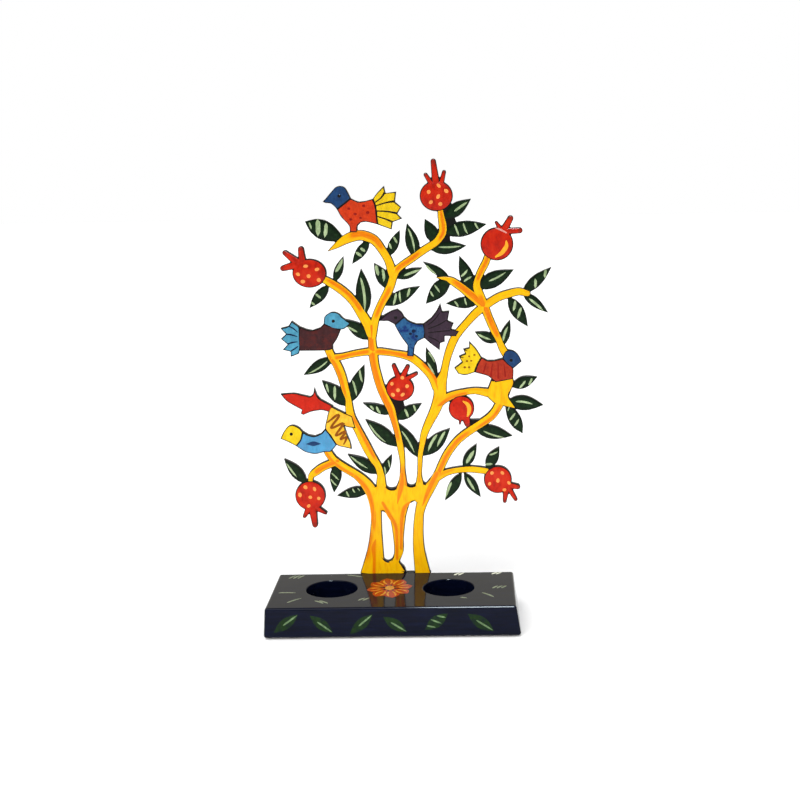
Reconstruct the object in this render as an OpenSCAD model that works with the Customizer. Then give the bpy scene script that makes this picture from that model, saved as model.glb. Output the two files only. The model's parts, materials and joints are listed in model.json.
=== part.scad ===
// A table candle holder: a flat tree of life, cut out of one board and painted with leaves,
// pomegranates and birds, stands behind a lacquered wooden block with two tea-light wells.
// The origin is on the table, under the middle of the whole piece's box. The front of the
// tree faces -Y.

/* [Base block] */
// Width of the block's top face, left to right
block_w = 184.5; // [170:0.5:220]
// Depth of the block, front to back
block_d = 80; // [70:1:110]
// Height of the block alone
block_h = 23; // [22:0.5:40]
// How far the left end leans out at the bottom
left_lean = 1.5; // [0:0.5:5]
// How far the right end leans out at the bottom
right_lean = 3.5; // [0:0.5:6]
// Rounding of the block's long edges
edge_r = 1.8; // [0.5:0.1:3]
// Rounding of the block's upright corners
corner_r = 2.5; // [1:0.5:6]

/* [Tea-light wells] */
// Diameter of each well, for a 38 mm tea light
well_d = 39; // [38.5:0.5:42]
// Depth of each well
well_depth = 17; // [12:0.5:18]
// Centre of the left well, left of the middle
left_well = 47; // [40:0.5:55]
// Centre of the right well, right of the middle
right_well = 42; // [40:0.5:55]
// How far the wells sit behind the middle of the block
well_back = 3; // [0:0.5:6]
// Width of the eased edge at the mouth of a well
well_chamfer = 0.6; // [0.2:0.1:1]

/* [Tree panel] */
// Thickness of the board that the tree is cut from
panel_t = 5; // [4:0.5:8]
// Radius left by the saw in each inside corner
inside_r = 0.7; // [0.4:0.1:1]
// Radius of the crotches between the trunk's feet and its main limbs
fork_r = 3; // [1:0.5:3]
// How far the foot of the tree reaches down behind the block
tab_h = 18; // [14:0.5:20]

/* [Screws and pads] */
// Shank diameter of the panel screws
screw_d = 3.5; // [3:0.5:4]
// Head diameter of the panel screws
screw_head_d = 7; // [6:0.5:8]
// Length of the panel screws
screw_l = 18; // [14:1:18]
// Distance between neighbouring screws
screw_gap = 19; // [15:0.5:20]
// Diameter of the felt pads
pad_d = 12; // [8:1:16]
// Thickness of the felt pads
pad_t = 1.2; // [1:0.1:3]
// Distance of each pad's centre from the block's sides
pad_inset = 14; // [10:1:20]

/* [Hidden] */

block_top = pad_t + block_h;
back_y = block_d / 2;          // back face of the block and front face of the tree
reach_middle = 14.7;           // middle of the whole piece's box, right of the block's middle
screw_z = block_top - tab_h * 0.55;
slack = 0.05;                  // screw shank to its hole, on the radius
through = 1;                   // how far a cutter runs past a face
curve_steps = 2;               // straight pieces between two points of a limb
leaf_steps = 5;                // straight pieces along each side of a leaf
leaf_bias = 0.85;              // below 1, a leaf is broadest nearer its base
$fn = 48;

// Everything painted on the tree lies in its own plane: x from the middle of the block to
// the right, and z up from the top of the block. Sizes are in mm.

// Limbs run from the trunk outwards: [x, z, width] at each point.
LIMBS = [
    [ // left leg of the trunk and the lowest left limb
      [-18.5, -1, 19.5], [-16, 18, 13], [-15, 33.5, 9.5], [-14.5, 47, 8.5], [-15.5, 59.5, 10],
      [-19, 68.5, 9.5], [-23.5, 74.5, 8.5], [-29.5, 80, 7], [-39, 86, 7], [-46.5, 92, 6.5],
      [-50.5, 98, 6.5] ],
    [ // twig of the hanging pomegranate, low on the left
      [-44.5, 90.5, 6.5], [-54.5, 86.5, 6.5], [-60.5, 82.5, 6.5], [-64.5, 79, 5], [-65, 73.5, 4] ],
    [ // limb up to the bird on the left
      [-9.5, 64, 9], [-10, 73, 7.8], [-10, 79, 6.5], [-12, 86.5, 6], [-16.5, 94, 7], [-20.5, 102, 7.5],
      [-24, 109.5, 7], [-27.5, 117, 6.5], [-31.5, 125, 7], [-33, 132.5, 6.5],
      [-33.5, 140, 5.5], [-35.5, 147.5, 6.5], [-38, 158, 7], [-41.5, 167, 7],
      [-45, 172.5, 6.5], [-47.5, 178.5, 6.5] ],
    [ // main limb, up to the crossing
      [5.5, 63, 12.5], [7, 74.5, 6.5], [7, 82.5, 4.5], [7, 91, 4.5], [6, 100, 5.5], [4.5, 109, 5.5],
      [3, 116.5, 5.5], [1, 124.5, 6], [-1, 132, 7], [-4.5, 139.5, 7], [-8, 148, 7],
      [-10.5, 157, 7], [-12.5, 166.5, 7], [-13.5, 176.5, 7.5], [-14, 185.5, 6.5],
      [-14, 194, 8] ],
    [ // upper left fork, to the pomegranate on the left
      [-15, 190, 7], [-16.5, 196.5, 8], [-19, 201.5, 8], [-22.5, 207.5, 7.5],
      [-26.5, 214, 7], [-31.5, 220, 7], [-38, 225.5, 7], [-45, 230, 6.5],
      [-50.5, 233, 5.5] ],
    [ // upper right fork
      [-13.5, 188.5, 6.5], [-12.5, 194.5, 6.5], [-11, 201.5, 6.5], [-8.5, 208, 6.5],
      [-5, 215, 6.5], [-0.5, 223, 7], [2.5, 230.5, 6.5], [4, 237, 6.5] ],
    [ // perch of the top bird
      [3.5, 233.5, 6.5], [2, 239, 7], [0, 246, 6.5], [-5, 254.5, 6.5], [-10.5, 261.5, 7.5],
      [-19.5, 265, 8], [-27, 264, 8], [-33, 261.5, 7], [-39, 257.5, 4.5],
      [-45.5, 253.5, 0.5] ],
    [ // limb to the topmost pomegranate
      [3, 232.5, 6.5], [7, 239.5, 6], [17, 246.5, 6], [28, 254, 6],
      [36, 259, 6], [41, 265.5, 6.5], [41.5, 271.5, 6.5], [40.5, 278, 5.5], [40, 283.5, 4.5] ],
    [ // cross limb, left half
      [-14, 176.5, 6.5], [-17.5, 176.5, 6], [-28, 175, 5.5], [-37, 173, 5.5],
      [-43.5, 172, 6.5] ],
    [ // cross limb, right half, under the middle bird
      [-12.5, 176, 5.5], [-8, 176.5, 6], [2.5, 175, 5.5], [13.5, 172.5, 6.5],
      [20.5, 168, 6.5], [27, 161.5, 6.5], [31.5, 155.5, 6.5], [34.5, 148, 7] ],
    [ // long limb that leans right to the end twig
      [20, 61.5, 11], [20, 72, 6.5], [20, 78.5, 4], [20.5, 86.5, 4], [21, 95, 4.5],
      [22.5, 103, 5], [24.5, 112, 6], [28.5, 121, 7], [33.5, 131, 8.5], [37, 141.5, 10],
      [37.5, 150, 10], [40.5, 159.5, 6.5], [42.5, 168.5, 6], [45.5, 178, 6.5], [50, 187.5, 6.5],
      [57.5, 196.5, 6], [65, 204.5, 6.5], [72, 210, 6.5], [82, 216.5, 6.5], [91, 219.5, 6.5],
      [98.5, 221, 6], [104.5, 219.5, 5.5] ],
    [ // twig of the right pomegranate
      [75.5, 249.5, 5.5], [73.5, 243.5, 6], [70, 237, 6], [67, 230, 5.5], [66.5, 225, 6.5],
      [68.5, 219, 7], [72, 210.5, 7] ],
    [ // limb from the leafy twig down to the right bird
      [36.5, 232.5, 1], [40, 232, 3], [43.5, 231.5, 4], [48, 229.5, 6], [54.5, 225, 6.5],
      [60, 220.5, 7], [66, 215.5, 7.5], [72, 209.5, 7], [75, 202, 6.5], [79, 192.5, 6.5],
      [82.5, 185, 5.5], [85.5, 177.5, 6], [88, 173.5, 6.5] ],
    [ // arch over the small pomegranate
      [35.5, 134.5, 7], [39.5, 138, 6.5], [46, 141.5, 6.5], [55.5, 144, 5.5],
      [64.5, 145, 5.5], [73, 143.5, 7], [81.5, 142.5, 9.5] ],
    [ // right limb and the right leg of the trunk
      [84, 140, 9.5], [82, 133, 7], [76.5, 125, 7], [68, 119, 6.5], [59.5, 113.5, 6.5],
      [51, 107, 6.5], [45, 100, 6.5], [40.5, 93, 6.5], [36.5, 84.5, 6.5], [33, 76.5, 7],
      [27, 67.5, 9], [22.5, 59, 9], [19.5, 49, 7.5], [18.5, 39.5, 8], [18, 29, 8.5],
      [18.5, 16.5, 9.5], [21, -1.5, 12.5] ],
    [ // twig of the pomegranate low on the right
      [33.5, 76.5, 6.5], [41, 80.5, 5.5], [50, 82.5, 5], [60.5, 83, 5.5],
      [72, 81.5, 5.5] ],
    [ // middle leg of the trunk
      [4.5, 59, 12], [2.5, 49.5, 14], [2.5, 38, 10.5], [2.5, 26.5, 8], [2.5, 17, 7.5],
      [0, 10, 6.2], [-2, 5, 14], [-3.5, -2, 24] ],
];

// Leaves: [x, z of the broad end, x, z of the narrow end, width].
LEAVES = [
    [-62, 276, -32, 261, 15], [-14, 261.5, -27.5, 243.5, 8], [0, 248.5, 9, 268.5, 8],
    [1.5, 223.5, -11, 244, 10.5], [6, 232, 25.5, 240, 7.5], [-18.5, 204, -21, 240, 12],
    [-41.5, 229.5, -34, 249.5, 7], [-45.5, 228, -61, 210.5, 8.5],
    [42, 276.5, 63, 291, 10.5], [41, 266, 74.5, 272, 12], [31.5, 253.5, 59, 256, 10],
    [37.5, 257, 28, 276.5, 10.5], [21.5, 246.5, 14.5, 273.5, 10.5],
    [-4, 211.5, 23.5, 226, 10], [46.5, 231, 26, 244.5, 6.5], [46.5, 232.5, 27.5, 212.5, 12],
    [63.5, 220.5, 53.5, 248.5, 10.5], [66, 224, 94.5, 237.5, 12.5],
    [69, 213.5, 43, 212.5, 9], [100.5, 219, 123, 239, 9], [90, 217, 105, 194, 10.5],
    [100.5, 220.5, 120.5, 204.5, 7.5], [82, 182.5, 64.5, 190.5, 8.5],
    [84.5, 178.5, 91.5, 199.5, 7.5], [92, 147.5, 112, 155, 9.5],
    [88.5, 136.5, 116.5, 133, 12], [100.5, 111, 87, 136, 10], [63, 115, 92.5, 109, 11],
    [22.5, 94, 44.5, 115.5, 12], [54, 83.5, 65, 103, 8.5], [72, 83, 82.5, 100.5, 9.5],
    [53, 80, 39.5, 58, 8.5], [54.5, 80, 67.5, 60.5, 8], [34.5, 154.5, 27, 179, 7.5],
    [-33, 134, -53.5, 154.5, 12], [-33, 136, -20.5, 166.5, 11],
    [0, 127.5, -22.5, 136.5, 7.5], [2, 123, 23, 135.5, 9.5], [4, 101.5, -21, 123.5, 11],
    [20.5, 92, 5, 120, 10], [-68, 73, -85, 93, 9.5], [-44, 89.5, -47, 65.5, 9.5],
    [-19, 67.5, -44.5, 63, 9], [-11.5, 80, -35.5, 96, 10], [-10, 77, -1, 95.5, 7],
    [-44, 172, -67.5, 159, 9.5], [-14.5, 185.5, -35.5, 202, 10.5],
];

// Pomegranates: centre, the two radii, and the crown's spikes, each as
// [x, z at the root, x, z at the tip, width at the root, width at the tip].
FRUITS = [
    [[37, 293.5], 12.5, 11.5,
     [[37, 302.5, 35, 321, 6, 4], [33.5, 302.5, 28.5, 310.5, 4, 3],
      [41, 303, 43.5, 312.5, 4, 3]]],
    [[-60, 237], 13, 11,
     [[-65, 245.5, -66, 257.5, 6, 4.5], [-69, 245.5, -79.5, 254, 6.5, 4],
      [-70.5, 243.5, -82, 240.5, 6, 4.5]]],
    [[82, 257], 12.5, 12.5,
     [[87.5, 267.5, 93.5, 278, 6, 4.5], [87.5, 266.5, 101.5, 267, 5, 4.5],
      [86.5, 266, 81, 274, 4.5, 2.5]]],
    [[6.5, 147.5], 11, 10,
     [[6.5, 153.5, 1.5, 167, 5, 3.5], [7.5, 154, 13.5, 166, 5.5, 3.5],
      [9.5, 154, 20.5, 159.5, 4.5, 3]]],
    [[53.5, 131.5], 10, 10,
     [[56, 127, 58.5, 116.5, 8, 4.5], [53, 125.5, 52, 118.5, 3, 1.5]]],
    [[-65.5, 63.5], 12, 12,
     [[-65.5, 56, -71.5, 45.5, 6.5, 3], [-64.5, 56, -62.5, 37.5, 7, 4.5],
      [-63, 54.5, -53, 48.5, 5.5, 2.5]]],
    [[81, 74.5], 11, 11,
     [[88, 70, 98.5, 68, 5.5, 4], [89, 68.5, 95.5, 57, 4.5, 3], [87.5, 67.5, 86, 55.5, 5.5, 3]]],
];

// The spiky red blossom on the left.
BLOSSOM = [[-85.5, 144.5], [-75, 145], [-63, 142], [-60.5, 144], [-59.5, 149], [-57.5, 143],
           [-55, 140], [-45.5, 134.5], [-48.5, 130], [-54.5, 131.5], [-62, 130.5],
           [-68.5, 128], [-70.5, 129], [-69.5, 132], [-76.5, 136], [-81.5, 139.5]];

// Birds: each is a list of outlines, body first, then head and tail.
TOP_BIRD = [
    [[-27, 292.5], [-24, 291], [-21, 290], [-16, 290.5], [-10.5, 292], [-8.5, 285.5],
     [-7.5, 273], [-11, 274], [-16, 275], [-20, 274.5], [-22.5, 272],
     [-23, 267.5], [-28.5, 267.5], [-28.5, 271.5], [-30.5, 274.5], [-34.5, 279], [-37.5, 284.5]],
    [[-27, 292.5], [-29.5, 298], [-31.5, 301], [-34.5, 302], [-38, 301], [-41.5, 297.5],
     [-45.5, 293], [-48, 290.5], [-46, 289.5], [-42, 289], [-39, 286.5], [-37.5, 284.5]],
    [[-10.5, 292], [-7, 296.5], [-2, 301.5], [-1, 296], [7, 297], [6, 289.5], [10.5, 285.5],
     [7.5, 280.5], [11, 277], [4, 274.5], [3, 269], [-7.5, 273], [-8.5, 285.5]],
];
LEFT_BIRD = [
    [[-50.5, 198.5], [-53.5, 195.5], [-59.5, 193.5], [-64, 194.5], [-69, 196.5], [-70, 187],
     [-69.5, 178], [-50, 178], [-44, 179], [-44, 182], [-40.5, 187],
     [-37.5, 194]],
    [[-50.5, 198.5], [-49.5, 204], [-45.5, 207], [-42.5, 207.5], [-38.5, 206], [-36, 203],
     [-30, 198.5], [-34, 195], [-37.5, 194], [-44, 195]],
    [[-69, 196.5], [-75, 201], [-77.5, 197], [-83.5, 195.5], [-79.5, 191], [-83.5, 187.5],
     [-78.5, 183], [-82.5, 179], [-76.5, 177.5], [-76.5, 173.5], [-72.5, 175], [-69.5, 178]],
];
MIDDLE_BIRD = [
    [[11, 203], [13.5, 200.5], [16, 199], [20, 197.5], [25.5, 197.5], [26.5, 192],
     [26, 186.5], [21, 184], [18.5, 180], [17.5, 172.5], [12.5, 173], [13, 181],
     [9.5, 186], [6, 192], [3.5, 197]],
    [[11, 203], [9.5, 206], [6, 209], [2, 208], [-2, 206], [-10.5, 201], [-7, 200],
     [-1.5, 200], [2.5, 198], [4, 197]],
    [[25.5, 197.5], [31.5, 202], [35.5, 207], [38.5, 213], [40, 206.5], [45.5, 207],
     [44, 199.5], [48.5, 197.5], [46.5, 193], [52.5, 191.5], [50, 187.5], [41.5, 188],
     [41.5, 183.5], [38, 182.5], [37.5, 177], [31, 182], [26, 186.5]],
];
LOW_BIRD = [
    [[-69.5, 114.5], [-65.5, 112], [-60.5, 111], [-55.5, 113], [-52, 117], [-48, 111],
     [-43.5, 104], [-46.5, 100.5], [-49, 98.5], [-53, 98.5], [-60.5, 97], [-67.5, 98.5],
     [-71, 100.5], [-75, 103.5]],
    [[-69.5, 114.5], [-72.5, 118], [-77, 120], [-81, 119], [-84.5, 114.5], [-87, 109.5],
     [-81.5, 107], [-75, 103.5], [-71.5, 108]],
    [[-52, 117], [-50.5, 125], [-49, 130.5], [-47, 134.5], [-41.5, 131.5], [-36.5, 129],
     [-31, 126.5], [-28.5, 117], [-35, 118], [-37.5, 119.5], [-35.5, 112.5], [-33, 106],
     [-32, 100.5], [-37.5, 102], [-43.5, 104], [-48, 111]],
];
RIGHT_BIRD = [
    [[69.5, 171], [74, 168.5], [79, 168.5], [85.5, 170], [89.5, 166], [93.5, 162],
     [93.5, 154], [80, 151.5], [77, 154], [74, 156.5], [64, 159.5], [66.5, 166]],
    [[85.5, 170], [87, 174.5], [90.5, 176.5], [94.5, 175.5], [98, 172], [100, 167.5],
     [96.5, 164.5], [93.5, 162], [89, 165.5]],
    [[69.5, 171], [65.5, 177.5], [60, 183.5], [60, 178.5], [55.5, 177.5], [57, 174],
     [52, 172], [54.5, 167.5], [48.5, 163], [51.5, 158.5], [57, 157.5], [64, 159.5],
     [66.5, 166]],
    // the knot of wood that it stands on
    [[80, 153], [93.5, 155], [94, 150.5], [92, 145.5], [90, 140], [96.5, 130], [86.5, 132.5],
     [79.5, 134.5], [71, 142.5], [74, 147], [76.5, 153.5]],
];

// Solid places between a limb and its leaves.
WEBS = [
    [[41, 284.5], [46.5, 286], [49.5, 280], [51.5, 274.5], [46, 272], [47, 260],
     [41.5, 260.5]],
    [[-0.5, 141], [8, 141], [10, 131.5], [5, 125.5], [1.5, 128.5]],
    [[60, 122.6], [68, 122.6], [66, 118], [59, 116.5]],
];
// The solid fork where the limbs leave the trunk.
TRUNK_FORK = [
    [-23.5, 71.5], [-12.5, 69], [-2, 68.5], [5.5, 69.5], [13, 70.5], [19.5, 71.5], [26, 72],
    [33.5, 73], [24.5, 55.5], [20, 51], [16.5, 58.5], [12, 56], [8, 44.5], [0.5, 36.5],
    [-7, 48.5], [-10, 50.5], [-14.5, 47], [-19.5, 57],
];
// Where the trunk's crotches are widely rounded: [x, z of the corner, width, height].
CROTCHES = [[-26, 1, 62, 29], [-9, 62, 33, 19]];
tab_w = 55.5;                  // width of the foot of the tree
tab_x = -0.25;                 // its middle, from the middle of the block

// Catmull-Rom spline: the point between b and c at t, for numbers or lists.
function between(a, b, c, d, t) =
    0.5 * (2 * b + (c - a) * t + (2 * a - 5 * b + 4 * c - d) * t * t
           + (3 * b - a - 3 * c + d) * t * t * t);
function smooth(p, n) = let (last = len(p) - 1) concat(
    [for (i = [0:last - 1], s = [0:n - 1])
        between(p[max(0, i - 1)], p[i], p[i + 1], p[min(last, i + 2)], s / n)],
    [p[last]]);

// Points at half the width to one side of a smoothed limb.
function side(c, turn) = [for (i = [0:len(c) - 1])
    let (a = c[max(0, i - 1)], b = c[min(len(c) - 1, i + 1)],
         d = norm([b[0] - a[0], b[1] - a[1]]))
    [c[i][0] - turn * (b[1] - a[1]) / d * c[i][2] / 2,
     c[i][1] + turn * (b[0] - a[0]) / d * c[i][2] / 2]];
function reversed(p) = [for (i = [len(p) - 1:-1:0]) p[i]];

module stroke(points, steps) {
    c = smooth(points, steps);
    polygon(concat(side(c, 1), reversed(side(c, -1))));
    for (end = [points[0], points[len(points) - 1]])
        translate([end[0], end[1]]) circle(d = end[2], $fn = 12);
}

module leaf(l) {
    a = [l[0], l[1]];
    along = [l[2], l[3]] - a;
    across = [-along[1], along[0]] / norm(along) * l[4] / 2;
    polygon([for (way = [1, -1], i = [0:leaf_steps - 1])
        let (t = way == 1 ? i / leaf_steps : 1 - i / leaf_steps)
        a + along * t + across * way * sin(180 * pow(t, leaf_bias))]);
}

module spike(s) {
    root = [s[0], s[1]];
    tip = [s[2], s[3]];
    end = tip - (tip - root) / norm(tip - root) * s[5] / 2;
    stroke([[root[0], root[1], s[4]], [end[0], end[1], s[5]]], 1);
}

module fruit(f) {
    polygon([for (a = [0:15:345]) f[0] + [f[1] * cos(a), f[2] * sin(a)]]);
    for (s = f[3]) spike(s);
}

// The trunk, with its crotches widely rounded: those between its feet and its main limbs.
module trunk() {
    for (box = CROTCHES) offset(r = -fork_r, $fn = 24) offset(delta = fork_r) intersection() {
        union() {
            for (l = LIMBS) stroke(l, curve_steps);
            polygon(TRUNK_FORK);
        }
        translate([box[0], box[1]]) square([box[2], box[3]]);
    }
}

module tree_outline() {
    offset(r = -inside_r, $fn = 8) offset(delta = inside_r) {
        for (l = LIMBS) stroke(l, curve_steps);
        for (l = LEAVES) leaf(l);
        for (f = FRUITS) fruit(f);
        for (bird = [TOP_BIRD, LEFT_BIRD, MIDDLE_BIRD, LOW_BIRD, RIGHT_BIRD], p = bird)
            polygon(p);
        polygon(BLOSSOM);
        for (w = WEBS) polygon(w);
        trunk();
        polygon(TRUNK_FORK);
        translate([tab_x - tab_w / 2, -tab_h]) square([tab_w, tab_h]);
    }
}

// A cutter or shank that lies along Y, at one of the three screw places.
module at_screw(i) {
    translate([tab_x + i * screw_gap, back_y + panel_t, screw_z]) rotate([90, 0, 0])
        children();
}

module screw_hole(length, clearance) {
    translate([0, 0, -through]) cylinder(d = screw_d + 2 * clearance, h = length + through);
    translate([0, 0, -through])
        cylinder(d = screw_head_d + 2 * clearance, h = through + slack);
    translate([0, 0, slack])
        cylinder(d1 = screw_head_d + 2 * clearance, d2 = screw_d + 2 * clearance,
                 h = (screw_head_d - screw_d) / 2);
}

// A square-cornered plate with every corner rounded.
module rounded(points, r) { offset(r = r, $fn = 24) offset(delta = -r) polygon(points); }

module block_body() {
    half = block_w / 2;
    front = [[-half - left_lean, 0], [half + right_lean, 0], [half, block_h],
             [-half, block_h]];
    wide = half + right_lean;
    intersection() {
        translate([0, back_y, pad_t]) rotate([90, 0, 0])
            linear_extrude(block_d) rounded(front, edge_r);
        translate([-wide, 0, pad_t]) rotate([90, 0, 90])
            linear_extrude(2 * wide)
                rounded([[-back_y, 0], [back_y, 0], [back_y, block_h], [-back_y, block_h]],
                        edge_r);
        translate([0, 0, pad_t]) linear_extrude(block_h)
            rounded([[-half - left_lean, -back_y], [wide, -back_y], [wide, back_y],
                     [-half - left_lean, back_y]], corner_r);
    }
}

module well(x) {
    translate([x, well_back, block_top - well_depth])
        cylinder(d = well_d, h = well_depth + through, $fn = 96);
    translate([x, well_back, block_top - well_chamfer])
        cylinder(d1 = well_d, d2 = well_d + 2 * (well_chamfer + through),
                 h = well_chamfer + through, $fn = 96);
}

module base_block() {
    color("midnightblue") difference() {
        block_body();
        well(-left_well);
        well(right_well);
        for (i = [-1:1]) at_screw(i)
            cylinder(d = screw_d + 2 * slack, h = screw_l + slack);
    }
}

module tree_panel() {
    color("gold") difference() {
        translate([0, back_y + panel_t, block_top]) rotate([90, 0, 0])
            linear_extrude(panel_t) tree_outline();
        for (i = [-1:1]) at_screw(i) screw_hole(panel_t + through, slack);
    }
}

// A countersunk wood screw with a cross recess, pointing along +Z.
module panel_screw(i) {
    head_h = (screw_head_d - screw_d) / 2;
    tip_h = screw_d;
    recess = [screw_head_d * 0.6, 0.9, 1.2];
    color("silver") at_screw(i) translate([0, 0, slack]) difference() {
        rotate_extrude($fn = 32)
            polygon([[0, 0], [screw_head_d / 2, 0], [screw_d / 2, head_h],
                     [screw_d / 2, screw_l - tip_h], [0.3, screw_l - slack],
                     [0, screw_l - slack]]);
        for (turn = [0, 90]) rotate(turn)
            translate([-recess[0] / 2, -recess[1] / 2, -through])
                cube([recess[0], recess[1], recess[2] + through]);
    }
}

// Moves a piece drawn about the middle of the block to its place about the origin.
module placed() { translate([-reach_middle, -panel_t / 2, 0]) children(); }

module pad(x_side, y_side) {
    color("dimgray")
        translate([x_side * (block_w / 2 - pad_inset), y_side * (back_y - pad_inset), 0])
            cylinder(d = pad_d, h = pad_t);
}

placed() base_block();
placed() tree_panel();
placed() panel_screw(-1);  // screw_left
placed() panel_screw(0);  // screw_middle
placed() panel_screw(1);  // screw_right
placed() pad(-1, -1);  // pad_front_left
placed() pad(1, -1);  // pad_front_right
placed() pad(-1, 1);  // pad_back_left
placed() pad(1, 1);  // pad_back_right
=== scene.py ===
import json
import math
import random

import bmesh
import bpy
import numpy as np
from mathutils import Matrix, Vector
from mathutils.geometry import delaunay_2d_cdt


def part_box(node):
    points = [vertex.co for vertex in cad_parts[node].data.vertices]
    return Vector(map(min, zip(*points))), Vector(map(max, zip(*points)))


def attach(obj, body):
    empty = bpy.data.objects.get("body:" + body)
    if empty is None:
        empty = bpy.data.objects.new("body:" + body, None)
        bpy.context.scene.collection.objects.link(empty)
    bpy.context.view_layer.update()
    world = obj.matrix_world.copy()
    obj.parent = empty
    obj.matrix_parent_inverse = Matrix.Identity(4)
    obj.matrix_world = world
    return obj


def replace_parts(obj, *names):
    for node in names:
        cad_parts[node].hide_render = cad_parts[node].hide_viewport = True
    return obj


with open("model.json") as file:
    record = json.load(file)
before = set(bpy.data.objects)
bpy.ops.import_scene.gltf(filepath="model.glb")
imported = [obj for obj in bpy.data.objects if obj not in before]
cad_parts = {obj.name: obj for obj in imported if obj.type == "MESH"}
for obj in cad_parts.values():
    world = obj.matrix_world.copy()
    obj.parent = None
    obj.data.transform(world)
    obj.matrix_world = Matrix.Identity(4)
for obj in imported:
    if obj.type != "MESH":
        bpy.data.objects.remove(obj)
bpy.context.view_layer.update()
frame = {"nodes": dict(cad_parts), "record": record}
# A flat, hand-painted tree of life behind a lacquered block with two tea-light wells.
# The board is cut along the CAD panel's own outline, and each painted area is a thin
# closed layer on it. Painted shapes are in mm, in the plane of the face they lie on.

MM = 0.001
BLOCK_LOW, BLOCK_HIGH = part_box("base_block")
TREE_LOW, TREE_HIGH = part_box("tree_panel")
SCREWS = ["screw_left", "screw_middle", "screw_right"]
PADS = ["pad_front_left", "pad_front_right", "pad_back_left", "pad_back_right"]
WELLS = [m for m in frame["record"]["mounts"] if m["kind"] == "bore"]
SCREW_OFFSET = 0.25 * MM           # the middle screw sits this far left of the block's middle
MIDDLE_X = sum(c.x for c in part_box("screw_middle")) / 2 + SCREW_OFFSET
MIDDLE_Y = (BLOCK_LOW.y + BLOCK_HIGH.y) / 2
SKIN = 0.1                         # mm kept free in the CAD box for paint on the block
ROOT_DEPTH = -0.12                 # mm that each painted layer reaches into its board

# A face to paint on: origin, then the directions of x, y and height.
TREE_FACE = ((MIDDLE_X, TREE_LOW.y, BLOCK_HIGH.z), (1, 0, 0), (0, 0, 1), (0, -1, 0))
BLOCK_FRONT = ((MIDDLE_X, BLOCK_LOW.y + SKIN * MM, 0), (1, 0, 0), (0, 0, 1), (0, -1, 0))
BLOCK_TOP = ((MIDDLE_X, MIDDLE_Y, BLOCK_HIGH.z - SKIN * MM), (1, 0, 0), (0, 1, 0), (0, 0, 1))

# ---------------------------------------------------------------- the painted tree, in mm

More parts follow.
